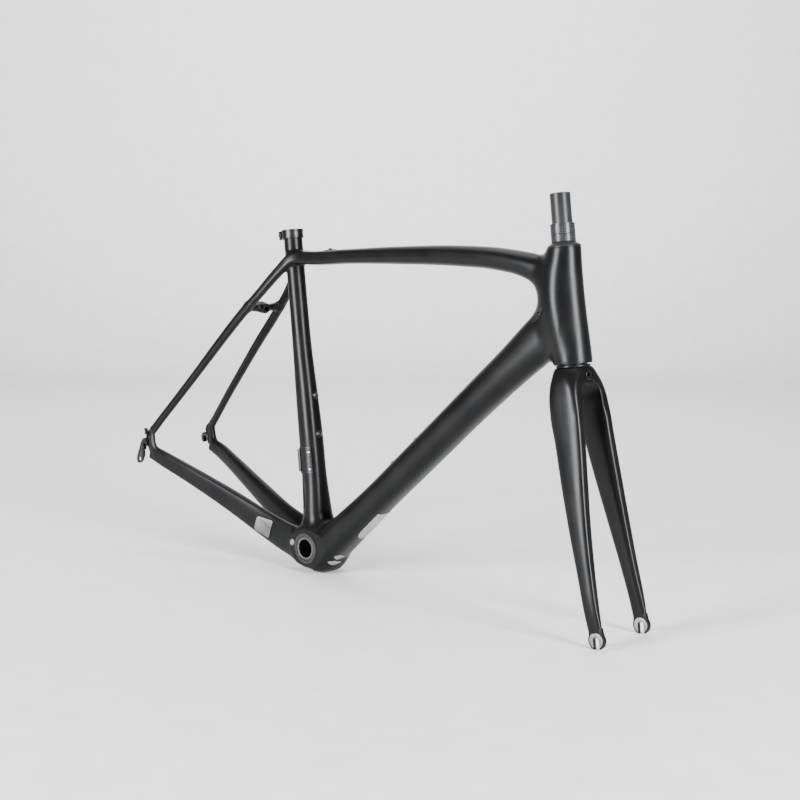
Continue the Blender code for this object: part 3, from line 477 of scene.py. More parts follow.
def sample_grid(field, low, high, cell):
    """Field values on a grid, worked out only in the blocks that lie near the surface."""
    block = 4
    blocks = np.ceil((high - low) / (cell * block)).astype(int)
    axes = [low[k] + (np.arange(blocks[k]) + 0.5) * cell * block - 0.5 * cell for k in range(3)]
    centres = np.stack(np.meshgrid(*axes, indexing="ij"), axis=-1).reshape(-1, 3)
    rough = in_chunks(field, centres)
    near = (np.abs(rough) < cell * block * 0.87 + 5.0).reshape(blocks)
    values = np.repeat(np.repeat(np.repeat(rough.reshape(blocks), block, 0), block, 1), block, 2)
    steps = np.stack(np.meshgrid(*[np.arange(block)] * 3, indexing="ij"), axis=-1).reshape(-1, 3)
    corners = np.argwhere(near) * block
    points = low + (corners[:, None, :] + steps[None]) * cell
    exact = in_chunks(field, points.reshape(-1, 3))
    shaped = values.reshape(blocks[0], block, blocks[1], block, blocks[2], block).transpose(0, 2, 4, 1, 3, 5)
    shaped[near] = exact.reshape(-1, block, block, block)
    return values


def net_surface(field, low, high, cell):
    """Points, quads and normals of the surface where the field is zero."""
    low = np.asarray(low, dtype=float)
    values = sample_grid(field, low, np.asarray(high, dtype=float), cell)
    inside = values < 0.0
    offsets = np.array([(i, j, k) for i in (0, 1) for j in (0, 1) for k in (0, 1)])
    size = np.array(values.shape) - 1
    count = np.zeros(size, dtype=np.int8)
    for i, j, k in offsets:
        count += inside[i:i + size[0], j:j + size[1], k:k + size[2]]
    cells = np.argwhere((count > 0) & (count < 8))
    corner = np.stack([values[tuple((cells + offset).T)] for offset in offsets], axis=1)
    total = np.zeros((len(cells), 3))
    number = np.zeros(len(cells))
    for a in range(8):
        for b in range(a + 1, 8):
            if np.abs(offsets[a] - offsets[b]).sum() != 1:
                continue
            change = (corner[:, a] < 0) != (corner[:, b] < 0)
            t = (corner[:, a] / np.where(change, corner[:, a] - corner[:, b], 1.0))[:, None]
            place = offsets[a] * (1 - t) + offsets[b] * t
            total += np.where(change[:, None], place, 0.0)
            number += change
    points = low + (cells + total / number[:, None]) * cell
    index = np.full(size, -1, dtype=np.int64)
    index[tuple(cells.T)] = np.arange(len(cells))
    quads = grid_quads(inside, index)
    points = settle(field, points, 0.0, 2)
    for _ in range(2):
        points = relax(field, points, quads)
        points = settle(field, points, 0.0, 1)
    return points, quads, unit(slope_of(field, points))


def grid_quads(inside, index):
    """One quad for every grid edge that crosses the surface."""
    quads = []
    for axis in range(3):
        step = np.eye(3, dtype=int)[axis]
        u = np.eye(3, dtype=int)[(axis + 1) % 3]
        v = np.eye(3, dtype=int)[(axis + 2) % 3]
        stop = np.array(inside.shape) - step
        here = inside[:stop[0], :stop[1], :stop[2]]
        there = inside[step[0]:, step[1]:, step[2]:]
        edges = np.argwhere(here != there)
        edges = edges[(edges * (u + v) >= u + v).all(axis=1) & (edges < index.shape).all(axis=1)]
        ring = [index[tuple((edges - shift).T)] for shift in (u * 0, u, u + v, v)]
        ring = np.stack(ring, axis=1)
        flip = here[tuple(edges.T)]
        ring[flip] = ring[flip][:, ::-1]
        quads.append(ring)
    quads = np.concatenate(quads)
    return quads[(quads >= 0).all(axis=1)][:, ::-1]


def relax(field, points, quads):
    """Even out the spacing of the points without leaving the surface."""
    starts = quads.ravel()
    ends = np.roll(quads, -1, axis=1).ravel()
    both = np.concatenate([starts, ends])
    other = np.concatenate([ends, starts])
    size = len(points)
    number = np.maximum(np.bincount(both, minlength=size), 1)
    sums = [np.bincount(both, weights=points[other, k], minlength=size) for k in range(3)]
    shift = np.stack(sums, axis=1) / number[:, None] - points
    normal = unit(slope_of(field, points))
    shift -= normal * (shift * normal).sum(axis=1)[:, None]
    return points + shift * 0.5


# ---------------------------------------------------------------- pieces

def finish_mesh(name, points, faces, look, normals=None):
    """An object in the standing pose from points in millimetres in riding posture."""
    mesh = bpy.data.meshes.new(name)
    mesh.from_pydata(to_row(points).tolist(), [], [tuple(int(i) for i in face) for face in faces])
    mesh.validate()
    if normals is None:
        tidy = bmesh.new()
        tidy.from_mesh(mesh)
        bmesh.ops.recalc_face_normals(tidy, faces=tidy.faces)
        tidy.to_mesh(mesh)
        tidy.free()
    mesh.shade_smooth()
    if normals is None:
        mesh.set_sharp_from_angle(angle=math.radians(32.0))
    else:
        turned_normals = to_row(normals) - to_row(np.zeros(3))
        mesh.normals_split_custom_set_from_vertices(unit(turned_normals).tolist())
    item = bpy.data.objects.new(name, mesh)
    bpy.context.scene.collection.objects.link(item)
    mesh.materials.append(look)
    return item


def place(item, body, slot, *nodes):
    """Tie a piece to its moving body and hide the CAD nodes that it stands for. The slot is not used."""
    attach(item, body)
    if nodes:
        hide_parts(*nodes)
    return item


def soften(outline, radius, steps=3, closed=True):
    """Round every corner of an outline."""
    result = []
    count = len(outline)
    for index in range(count):
        here = np.array(outline[index], dtype=float)
        if not closed and index in (0, count - 1):
            result.append(tuple(here))
            continue
        before = np.array(outline[index - 1], dtype=float)
        after = np.array(outline[(index + 1) % count], dtype=float)
        reach = min(radius, np.linalg.norm(before - here) * 0.45, np.linalg.norm(after - here) * 0.45)
        start = here + unit(before - here) * reach
        end = here + unit(after - here) * reach
        for step in range(steps + 1):
            t = step / steps
            result.append(tuple(start * (1 - t)**2 + here * 2 * t * (1 - t) + end * t**2))
    return result


def turned(name, profile, base, axis, look, radius=0.35, segments=None, closed=True):
    """Turn (radius, height) points about an axis, with small rounded edges."""
    segments = segments or SEGMENTS
    profile = soften(profile, radius, 3, closed) if radius else list(profile)
    axis = unit(axis)
    across = unit(np.cross(axis, [0.31, 0.9, 0.2]))
    other = np.cross(axis, across)
    points = []
    rows = []
    for size, height in profile:
        centre = base + axis * height
        if size < 1e-6:
            rows.append([len(points)] * segments)
            points.append(centre)
            continue
        rows.append(list(range(len(points), len(points) + segments)))
        for step in range(segments):
            angle = 2.0 * math.pi * step / segments
            points.append(centre + (across * math.cos(angle) + other * math.sin(angle)) * size)
    pairs = list(zip(rows, rows[1:] + (rows[:1] if closed else [])))
    faces = []
    for low, high in pairs:
        for step in range(segments):
            turn = (step + 1) % segments
            corners = tuple(dict.fromkeys([low[step], low[turn], high[turn], high[step]]))
            if len(corners) > 2:
                faces.append(corners)
    return finish_mesh(name, points, faces, look)


def band(inner, outer, low, high):
    """The profile of a plain ring."""
    return ((outer, low), (outer, high), (inner, high), (inner, low))


def arc(centre, radius, start, end, steps):
    angles = np.radians(np.linspace(start, end, steps + 1))
    return [(centre[0] + radius * math.cos(a), centre[1] + radius * math.sin(a)) for a in angles]


def plate(name, outline, across, deep, normal, layer, origin, look, bevel=0.5):
    """Extrude an outline between two depths and round its edges."""
    low, high = layer
    count = len(outline)
    points = [origin + across * a + deep * b + normal * low for a, b in outline]
    points += [origin + across * a + deep * b + normal * high for a, b in outline]
    faces = [tuple(range(count)), tuple(range(count, 2 * count))]
    faces += [(step, (step + 1) % count, count + (step + 1) % count, count + step) for step in range(count)]
    item = finish_mesh(name, points, faces, look)
    if bevel:
        rounded = bmesh.new()
        rounded.from_mesh(item.data)
        bmesh.ops.recalc_face_normals(rounded, faces=rounded.faces)
        rims = [edge for edge in rounded.edges
                if any(len(face.verts) > 4 for face in edge.link_faces)]
        bmesh.ops.bevel(rounded, geom=rims, offset=bevel * MM, segments=3, profile=0.5, affect="EDGES",
                        clamp_overlap=True)
        rounded.to_mesh(item.data)
        rounded.free()
        item.data.shade_smooth()
        item.data.set_sharp_from_angle(angle=math.radians(34.0))
    return item


def drill(item, base, axis, radius, depth):
    """Cut a round hole through a small piece."""
    tool = turned("drill", ((0.0, -depth), (radius, -depth), (radius, depth), (0.0, depth)), base, axis,
                  item.data.materials[0], 0.0, 40, closed=False)
    cut = item.modifiers.new("hole", "BOOLEAN")
    cut.operation = "DIFFERENCE"
    cut.solver = "EXACT"
    cut.object = tool
    graph = bpy.context.evaluated_depsgraph_get()
    mesh = bpy.data.meshes.new_from_object(item.evaluated_get(graph))
    item.modifiers.clear()
    item.data = mesh
    bpy.data.objects.remove(tool, do_unlink=True)
    return item


def shell_patch(name, grid, layer, look):
    """A thin plate draped on the moulding: a grid of nearby points, and two heights above the skin."""
    rows, columns = grid.shape[:2]
    flat = grid.reshape(-1, 3)
    low = settle(frame_field, flat, layer[0], 6)
    high = settle(frame_field, flat, layer[1], 6)
    count = len(flat)
    faces = []
    for row in range(rows - 1):
        for column in range(columns - 1):
            corner = row * columns + column
            face = (corner, corner + 1, corner + columns + 1, corner + columns)
            faces.append(face)
            faces.append(tuple(count + index for index in face))
    border = list(range(columns)) + [row * columns + columns - 1 for row in range(1, rows)]
    border += list(range(count - 2, count - columns - 1, -1))
    border += [row * columns for row in range(rows - 2, 0, -1)]
    for step, index in enumerate(border):
        turn = border[(step + 1) % len(border)]
        faces.append((index, turn, count + turn, count + index))
    return finish_mesh(name, np.concatenate([low, high]), faces, look)


def patch_grid(tube, places, turns, taper, rows=26, columns=18, end_turns=None, bow=0.0):
    """Points over part of a tube, between two turns that may change along it; taper narrows the patch."""
    grid = []
    end_turns = end_turns or turns
    for u in np.linspace(-1.0, 1.0, rows):
        share = (u + 1) / 2
        low = turns[0] * (1 - share) + end_turns[0] * share
        high = turns[1] * (1 - share) + end_turns[1] * share
        middle = (low + high) / 2 + bow * (1 - u * u)
        half = (high - low) / 2 * taper(u)
        along = places[0] + (places[1] - places[0]) * share
        grid.append([tube.section_point(along, math.radians(middle + half * v), 1.0)
                     for v in np.linspace(-1.0, 1.0, columns)])
    return np.array(grid)


def rounded_end(u, share=0.2):
    excess = max(abs(u) - (1.0 - share), 0.0) / share
    return 1.0 - 0.3 * (1.0 - math.sqrt(max(1.0 - excess**2, 0.0)))


def leaf(u):
    return max(1.0 - abs(u)**1.7, 0.02)


def cut_corner(u):
    return max(1.0 - max(-u, 0.0)**5.0, 0.02)


# ---------------------------------------------------------------- looks

def add_node(tree, kind, settings=None, inputs=None):
    node = tree.nodes.new(kind)
    for key, value in (settings or {}).items():
        setattr(node, key, value)
    for key, value in (inputs or {}).items():
        if isinstance(value, bpy.types.NodeSocket):
            tree.links.new(value, node.inputs[key])
        else:
            node.inputs[key].default_value = value
    return node


def noise(tree, coords, scale, detail=3.0, stretch=(1.0, 1.0, 1.0), turn=(0.0, 0.0, 0.0)):
    mapping = add_node(tree, "ShaderNodeMapping", {}, {"Vector": coords, "Scale": stretch, "Rotation": turn})
    made = add_node(tree, "ShaderNodeTexNoise", {},
                    {"Vector": mapping.outputs[0], "Scale": scale, "Detail": detail})
    return made.outputs["Fac"]


def compute(tree, operation, *values):
    node = tree.nodes.new("ShaderNodeMath")
    node.operation = operation
    for index, value in enumerate(values):
        if isinstance(value, bpy.types.NodeSocket):
            tree.links.new(value, node.inputs[index])
        else:
            node.inputs[index].default_value = value
    return node.outputs[0]


def spread(tree, value, low, high, to_low=0.0, to_high=1.0):
    node = add_node(tree, "ShaderNodeMapRange", {"clamp": True},
                    {"Value": value, "From Min": low, "From Max": high, "To Min": to_low, "To Max": to_high})
    return node.outputs[0]


def mix_colours(tree, share, one, other):
    node = tree.nodes.new("ShaderNodeMix")
    node.data_type = "RGBA"
    tree.links.new(share, node.inputs[0])
    for index, value in ((6, one), (7, other)):
        if isinstance(value, bpy.types.NodeSocket):
            tree.links.new(value, node.inputs[index])
        else:
            node.inputs[index].default_value = (*value, 1.0)
    return node.outputs[2]


def weave(tree, coords, pitch, rotation):
    """A plain weave: 1 where the crosswise yarn is on top, 0 where the lengthwise one is."""
    mapping = add_node(tree, "ShaderNodeMapping", {},
                       {"Vector": coords, "Scale": (1 / pitch, 1 / pitch, 1 / pitch), "Rotation": rotation})
    return add_node(tree, "ShaderNodeTexChecker", {},
                    {"Vector": mapping.outputs[0], "Scale": 1.0,
                     "Color1": (1, 1, 1, 1), "Color2": (0, 0, 0, 1)}).outputs["Fac"]


def round_weave(tree, coords, number, height):
    """Diamonds that run round the steering axis: this many round it, each this high."""
    lean = math.pi / 2 - HEAD_ANGLE - PITCH
    foot = -(Matrix.Rotation(lean, 3, "Y") @ Vector(to_row(HEAD_BOTTOM)))
    mapping = add_node(tree, "ShaderNodeMapping", {},
                       {"Vector": coords, "Rotation": (0.0, lean, 0.0), "Location": foot})
    apart = add_node(tree, "ShaderNodeSeparateXYZ", {}, {"Vector": mapping.outputs[0]})
    round_it = compute(tree, "ARCTAN2", apart.outputs[1], apart.outputs[0])
    round_it = compute(tree, "MULTIPLY", round_it, number / (2.0 * math.pi))
    along = compute(tree, "MULTIPLY", apart.outputs[2], 1.0 / height)
    one = compute(tree, "FLOOR", compute(tree, "ADD", round_it, along))
    other = compute(tree, "FLOOR", compute(tree, "SUBTRACT", round_it, along))
    return compute(tree, "FLOORED_MODULO", compute(tree, "ADD", one, other), 2.0)


def look(name, dark, light, rough, metallic=0.0, specular=0.5, grain=0.25, streak=(1.0, 1.0, 1.0),
         pattern=None, pattern_share=0.12, wear=0.35, anisotropic=0.0):
    """A worn procedural surface: clouded colour, fine scratches, grain and lighter edges."""
    made = bpy.data.materials.new(name)
    made.use_nodes = True
    tree = made.node_tree
    shader = tree.nodes["Principled BSDF"]
    coords = tree.nodes.new("ShaderNodeTexCoord").outputs["Object"]
    clouds = noise(tree, coords, 22.0, 5.0)
    grains = noise(tree, coords, 1400.0, 3.0, streak)
    scratches = noise(tree, coords, 90.0, 4.0, (1.0, 9.0, 16.0), (0.4, 0.3, 0.9))
    scratch = spread(tree, scratches, 0.66, 0.72)
    colour = mix_colours(tree, spread(tree, clouds, 0.35, 0.65), dark, light)
    height = compute(tree, "MULTIPLY", grains, grain)
    if pattern:
        if pattern == "round":
            cells = round_weave(tree, coords, 32, 0.00336)
        else:
            cells = weave(tree, coords, 0.003, (0.0, 0.785, 0.0))
        brighter = tuple(min(channel * 2.6 + 0.01, 1.0) for channel in light)
        colour = mix_colours(tree, compute(tree, "MULTIPLY", cells, pattern_share), colour, brighter)
        height = compute(tree, "ADD", height, compute(tree, "MULTIPLY", cells, pattern_share))
    edge = tree.nodes.new("ShaderNodeNewGeometry").outputs["Pointiness"]
    worn = compute(tree, "MULTIPLY", spread(tree, edge, 0.54, 0.62), wear)
    worn_colour = tuple(min(channel * 2.2 + 0.012, 0.9) for channel in light)
    colour = mix_colours(tree, worn, colour, worn_colour)
    colour = mix_colours(tree, compute(tree, "MULTIPLY", scratch, 0.25), colour, worn_colour)
    roughness = compute(tree, "ADD", spread(tree, clouds, 0.3, 0.7, rough[0], rough[1]),
                        compute(tree, "MULTIPLY", scratch, 0.08))
    roughness = compute(tree, "ADD", roughness, spread(tree, grains, 0.3, 0.7, -0.02, 0.02))
    bump = add_node(tree, "ShaderNodeBump", {}, {"Height": height, "Strength": 0.18, "Distance": 0.0003})
    tree.links.new(colour, shader.inputs["Base Color"])
    tree.links.new(roughness, shader.inputs["Roughness"])
    tree.links.new(bump.outputs[0], shader.inputs["Normal"])
    shader.inputs["Metallic"].default_value = metallic
    shader.inputs["Specular IOR Level"].default_value = specular
    shader.inputs["Anisotropic"].default_value = anisotropic
    return made


CARBON = look("satin_carbon", (0.0022, 0.0022, 0.0024), (0.004, 0.0039, 0.004), (0.29, 0.35),
              pattern="flat", pattern_share=0.012, grain=0.012, wear=0.12, specular=0.14)
STEERER_LOOK = look("steerer_carbon", (0.009, 0.0094, 0.0098), (0.016, 0.016, 0.0168), (0.32, 0.4),
                    grain=0.05, streak=(1.0, 1.0, 0.12), wear=0.25, specular=0.2)
SPACER_LOOK = look("woven_carbon", (0.006, 0.006, 0.0066), (0.01, 0.01, 0.011), (0.22, 0.3),
                   pattern="round", pattern_share=0.6, grain=0.05, wear=0.2, specular=0.25)
ALLOY = look("black_anodised", (0.009, 0.009, 0.0096), (0.016, 0.016, 0.017), (0.28, 0.38),
             metallic=0.75, grain=0.3, wear=0.7)
CLAMP_LOOK = look("dark_polished_alloy", (0.014, 0.014, 0.016), (0.034, 0.034, 0.036), (0.24, 0.34),
                  metallic=1.0, grain=0.15, streak=(0.2, 0.2, 3.0), wear=0.6, anisotropic=0.4)
BLACK_STEEL = look("black_oxide_steel", (0.018, 0.018, 0.018), (0.04, 0.04, 0.04), (0.24, 0.34),
                   metallic=0.85, grain=0.3, wear=0.7)
PLASTIC = look("black_plastic", (0.005, 0.005, 0.0054), (0.01, 0.01, 0.0105), (0.36, 0.46),
               grain=0.2, wear=0.3, specular=0.25)
SILVER = look("brushed_aluminium", (0.14, 0.14, 0.135), (0.21, 0.21, 0.205), (0.38, 0.5),
              metallic=1.0, grain=0.6, streak=(1.0, 1.0, 0.1), wear=0.3, anisotropic=0.3)
STEEL = look("ground_steel", (0.3, 0.3, 0.29), (0.43, 0.43, 0.42), (0.2, 0.3),
             metallic=1.0, grain=0.3, wear=0.4)
FILM = look("guard_film", (0.24, 0.23, 0.22), (0.38, 0.37, 0.35), (0.32, 0.5),
            metallic=0.7, grain=0.6, wear=0.3)
CUP_LOOK = look("grey_cup_alloy", (0.03, 0.03, 0.032), (0.055, 0.055, 0.058), (0.24, 0.34),
                metallic=0.8, grain=0.2, wear=0.6)
RACE_LOOK = look("dark_ground_steel", (0.07, 0.07, 0.072), (0.12, 0.12, 0.12), (0.22, 0.3),
                 metallic=1.0, grain=0.3, wear=0.7)
RUBBER = look("bearing_seal", (0.01, 0.01, 0.01), (0.018, 0.018, 0.018), (0.5, 0.62), grain=0.5, wear=0.1)


# ---------------------------------------------------------------- build: mouldings

def build_mouldings():
    low = (-425.0, -80.0, -48.0)
    high = (490.0, 80.0, 596.0)
    points, quads, normals = net_surface(frame_field, low, high, FRAME_CELL)
    skin = finish_mesh("frame_skin", points, quads, CARBON, normals)
    nodes = ["head_tube", "top_tube", "down_tube", "seat_tube", "bottom_bracket_shell", "brake_bridge"]
    nodes += [stay + word for stay in ("chainstay_", "seatstay_") for word in SIDES]
    place(skin, "frame", "carbon", *nodes)
    low = np.minimum(CROWN_SEAT, FRONT_AXLE) - (60.0, 75.0, 25.0)
    high = np.maximum(CROWN_SEAT, FRONT_AXLE) + (60.0, 75.0, 25.0)
    points, quads, normals = net_surface(fork_field, low, high, FORK_CELL)
    skin = finish_mesh("fork_skin", points, quads, CARBON, normals)
    place(skin, "fork", "carbon", "fork_crown", "fork_blade_left", "fork_blade_right")
    lower = ((26.6, -0.05), (26.75, 1.0), (26.7, 1.7), (22.9, 1.7), (22.9, -0.05))
    upper = ((23.7, 158.0), (23.6, 160.05), (19.2, 160.05), (19.2, 158.0))
    stub = ((15.3, 468.0), (15.3, 523.2), (13.65, 523.2), (13.65, 468.0))
    boss = ((5.6, 8.0), (5.6, 9.25), (4.1, 9.25), (4.1, 8.0))
    rims = (("head_tube_lower_rim", lower, HEAD_BOTTOM, STEER_UP, 0.5),
            ("head_tube_upper_rim", upper, HEAD_BOTTOM, STEER_UP, 0.5),
            ("seat_tube_collar", stub, seat_point(0.0, -SETBACK), SEAT_UP, 0.4),
            ("bridge_boss_rim", boss, BRIDGE_CENTRE, BRIDGE_AXIS, 0.3))
    for name, profile, base, axis, edge in rims:
        place(turned(name, profile, base, axis, CARBON, edge), "frame", "carbon")


build_mouldings()

# ---------------------------------------------------------------- build: rear end

CENTRE = (0.0, 0.0)
REAR_HALF = 65.0
SLOT = 5.1
SLOT_LEAN = math.radians(24.0)


def leaned(outline):
    """Turn an outline about the axle, so that its slot opens down and a little forward."""
    cosine = math.cos(SLOT_LEAN)
    sine = math.sin(SLOT_LEAN)
    return [(a * cosine - b * sine, a * sine + b * cosine) for a, b in outline]


def hook_outline(outer, lip, reach):
    """A C-shaped plate round the axle that runs into the web in front of it."""
    slot = [(SLOT, -5.0)] + arc(CENTRE, SLOT, 0.0, 180.0, 16)
    slot += [(-SLOT, lip)] + arc(CENTRE, outer, 226.0, 84.0, 18)
    return [(reach, 13.0), (reach, -9.5)] + leaned(slot)


def side_plate(name, outline, layer, look, bevel):
    """A plate square to the rear axle, drawn about it."""
    return plate(name, outline, FORWARD, UP, LEFT, sorted(layer), REAR_AXLE, look, bevel)


def build_rear_end():
    hook = soften(hook_outline(10.4, -8.0, 12.5), 1.2)
    rim = arc(CENTRE, 8.0, -38.0, 218.0, 28) + [(-SLOT, -6.6)] + arc(CENTRE, SLOT, 180.0, 0.0, 20)
    rim += [(SLOT, -5.4)]
    for word, hand in SIDES.items():
        near = REAR_HALF * hand
        layer = (near, near + (4.2 if word == "right" else 8.0) * hand)
        item = side_plate("dropout_%s_hook" % word, hook, layer, CARBON, 0.8)
        place(item, "frame", "carbon", "dropout_" + word)
        faces = [("inner", near - 0.05 * hand, near + 0.9 * hand)]
        if word == "left":
            faces.append(("outer", near + 7.5 * hand, near + 8.15 * hand))
        for label, *layer in faces:
            item = side_plate("dropout_%s_rim_%s" % (word, label), leaned(rim), layer, RACE_LOOK, 0.15)
            place(item, "frame", "aluminium")
    body = leaned([(SLOT + 0.6, -4.0)] + arc(CENTRE, SLOT, 0.0, 180.0, 14) + [(-SLOT, -7.0)])
    body += [(1.4, -12.6), (1.2, -21.0), (-1.6, -29.4), (-5.6, -34.6), (-10.4, -36.8), (-15.6, -36.2),
             (-18.4, -32.4), (-18.2, -26.0), (-16.0, -17.6), (-13.6, -9.0), (-11.6, -1.0), (-9.0, 6.4),
             (-5.6, 11.4), (-1.4, 13.4), (2.6, 11.8), (6.4, 6.0)]
    hanger = side_plate("derailleur_hanger_plate", soften(body, 2.0, 3), (-73.25, -69.4), ALLOY, 1.0)
    hole = REAR_AXLE + FORWARD * -10.0 + UP * -28.6
    drill(hanger, hole - LEFT * 71.0, LEFT, 4.7, 12.0)
    place(hanger, "frame", "black_alloy", "derailleur_hanger")
    thread = []
    for step in range(7):
        thread += [(4.75, -3.3 + step * 0.5), (4.45, -3.05 + step * 0.5)]
    thread += [(5.4, 0.1), (5.4, -3.3)]
    item = turned("hanger_thread", thread, hole - LEFT * 73.1, -LEFT, BLACK_STEEL, 0.0)
    place(item, "frame", "steel")
    ridge = arc(CENTRE, 7.4, 20.0, 206.0, 26) + [(-SLOT, -5.0)] + arc(CENTRE, SLOT, 180.0, 12.0, 20)
    item = side_plate("hanger_slot_rim", leaned(ridge), (-73.4, -73.0), CUP_LOOK, 0.15)
    place(item, "frame", "aluminium")
    screw = REAR_AXLE + FORWARD * -2.2 + UP * 10.2 - LEFT * 72.8
    socket_screw("hanger_screw_head", screw, -LEFT, 2.0, 0.4, "derailleur_hanger_screw", "steel")
    stop = REAR_AXLE + np.array([-4.6, 0.0, 24.0]) - LEFT * 68.0
    barrel = ((1.3, -6.0), (2.6, -6.0), (3.3, -5.2), (3.3, -2.6), (2.4, -1.8), (2.4, 1.2), (3.4, 2.0),
              (3.4, 5.2), (2.6, 6.0), (1.3, 6.0))
    item = turned("rear_cable_stop_barrel", barrel, stop, SEAT_UP, ALLOY, 0.3, 48)
    place(item, "frame", "black_alloy", "rear_cable_stop")
    arm = REAR_AXLE + np.array([6.0, -67.8, 22.0])
    root = turned("rear_cable_stop_root", ((0.0, 0.0), (6.0, 0.0), (3.6, 9.5), (0.0, 9.5)), arm,
                  stop - arm, CARBON, 0.8, 40, closed=False)
    place(root, "frame", "carbon")


def socket_screw(name, seat, out, radius, height, node, slot, finish=BLACK_STEEL, skirt=0.0):
    """A button head with a hexagonal socket, and a washer skirt if asked for."""
    key = radius * 0.46
    head = ((0.0, 0.0), (radius, 0.0), (radius, height * 0.45), (radius * 0.86, height * 0.8 + radius * 0.12),
            (radius * 0.62, height + radius * 0.16), (key * 1.2, height + radius * 0.18),
            (key * 1.12, height * 0.3), (0.0, height * 0.25))
    item = turned(name, head, seat, out, finish, radius * 0.07, 48, closed=False)
    place(item, "frame", slot, node)
    hexagon = ((key * 1.25, height * 0.3), (key * 1.25, height + radius * 0.16),
               (key, height + radius * 0.1), (key, height * 0.3))
    place(turned(name + "_socket", hexagon, seat, out, BLACK_STEEL, 0.0, 6), "frame", slot)
    if skirt:
        rim = radius + skirt
        washer = ((radius * 0.5, -0.6), (rim, -0.6), (rim, 0.25), (radius + skirt * 0.4, 0.6),
                  (radius * 0.5, 0.6))
        place(turned(name + "_washer", washer, seat, out, finish, 0.2, 48), "frame", slot)


build_rear_end()


# ---------------------------------------------------------------- build: fittings on the tubes

def on_skin(point, lift=0.0):
    """The nearest place on the moulding, and the direction straight out of it."""
    spot = settle(frame_field, np.array([point], dtype=float), lift, 8)
    return spot[0], unit(slope_of(frame_field, spot))[0]


def build_seat_clamp():
    base = seat_point(510.0, -SETBACK)
    bore = 15.55
    slot = 1.2
    ear = 29.0
    layers = (("rim_lower", 0.0, 3.2, 17.9, 6.6), ("band", 2.2, 11.8, 17.2, 5.9),
              ("rim_upper", 10.8, 14.0, 17.9, 6.6))
    for label, low, high, outer, thick in layers:
        start = math.degrees(math.asin(slot / bore))
        turn = math.degrees(math.asin(thick / outer))
        outline = arc(CENTRE, outer, 180.0 - turn, -180.0 + turn, 72)
        outline += [(-19.5, -thick), (-ear + 2.0, -thick), (-ear, -thick + 1.8), (-ear, -slot)]
        outline += arc(CENTRE, bore, -180.0 + start, 180.0 - start, 72)
        outline += [(-ear, slot), (-ear, thick - 1.8), (-ear + 2.0, thick), (-19.5, thick)]
        item = plate("seat_clamp_" + label, outline, SEAT_FORWARD, LEFT, SEAT_UP, (low, high), base,
                     CLAMP_LOOK, 0.35)
        nodes = ["seat_clamp_collar"] if label == "band" else []
        place(item, "frame", "black_alloy", *nodes)
    bolt = base + SEAT_UP * 7.0 - SEAT_FORWARD * 22.4
    socket_screw("seat_clamp_bolt_head", bolt - LEFT * 6.5, -LEFT, 4.1, 2.6, "seat_clamp_bolt", "steel")
    shank = ((0.0, -7.0), (2.3, -7.0), (2.3, 7.0), (0.0, 7.0))
    item = turned("seat_clamp_bolt_shank", shank, bolt, LEFT, STEEL, 0.0, 40, closed=False)
    place(item, "frame", "steel")
    nut = ((1.6, 6.7), (4.4, 6.7), (4.4, 9.6), (3.7, 10.3), (1.6, 10.3))
    item = turned("seat_clamp_barrel_nut", nut, bolt, LEFT, BLACK_STEEL, 0.3, 48)
    place(item, "frame", "steel", "seat_clamp_nut")


BOTTLE_SPACING = 64.0


def build_bottle_bolts():
    down = unit(np.array([246.0, 0.0, 293.5]))
    lines = (("seat_tube", seat_point(186.0, 18.4), SEAT_UP, SEAT_FORWARD),
             ("down_tube", np.array([138.4, 0.0, 181.2]), down, np.array([-down[2], 0.0, down[0]])))
    nut = ((2.6, -0.9), (6.4, -0.9), (6.4, 0.15), (5.9, 0.5), (2.6, 0.5))
    for tube, low, along, outward in lines:
        for word, shift in (("lower", 0.0), ("upper", BOTTLE_SPACING)):
            spot, out = on_skin(low + along * shift + outward * 16.0)
            name = "%s_bottle_bolt_%s" % (tube, word)
            socket_screw(name + "_head", spot + out * 1.0, out, 4.3, 2.6, name, "black_steel", skirt=1.4)
            place(turned(name + "_rivet_nut", nut, spot, out, ALLOY, 0.2, 48), "frame", "black_alloy")


def build_front_derailleur_mount():
    """A curved plate beside the seat tube with a raised rear flange, and two bright screws."""
    tube = TUBES["seat"]
    length = np.linalg.norm(np.diff(tube.centre, axis=0), axis=1).sum()
    low = 122.5 / length
    high = 165.5 / length
    grid = patch_grid(tube, (low, high), (150.0, 219.0), lambda u: 1.0 - 0.04 * abs(u)**8, 24, 14)
    item = shell_patch("front_derailleur_plate", grid, (0.45, 1.9), ALLOY)
    place(item, "frame", "black_alloy", "front_derailleur_mount")
    places = (low + 0.006, high - 0.006)
    grid = patch_grid(tube, places, (126.0, 158.0), lambda u: 1.0 - 0.1 * abs(u)**8, 24, 8)
    place(shell_patch("front_derailleur_flange", grid, (0.6, 4.6), ALLOY), "frame", "black_alloy")
    grid = patch_grid(tube, (low + 0.028, high - 0.03), (196.0, 214.0), leaf, 18, 8)
    place(shell_patch("front_derailleur_pad", grid, (1.5, 2.35), PLASTIC), "frame", "black_plastic")
    for word, shift in (("lower", 7.2), ("upper", 35.0)):
        spot, out = on_skin(tube.section_point((122.0 + shift) / length, math.radians(206.0), 2.0), 1.9)
        name = "front_derailleur_mount_screw_" + word
        socket_screw(name + "_head", spot - out * 0.1, out, 3.1, 1.5, name, "steel", STEEL)


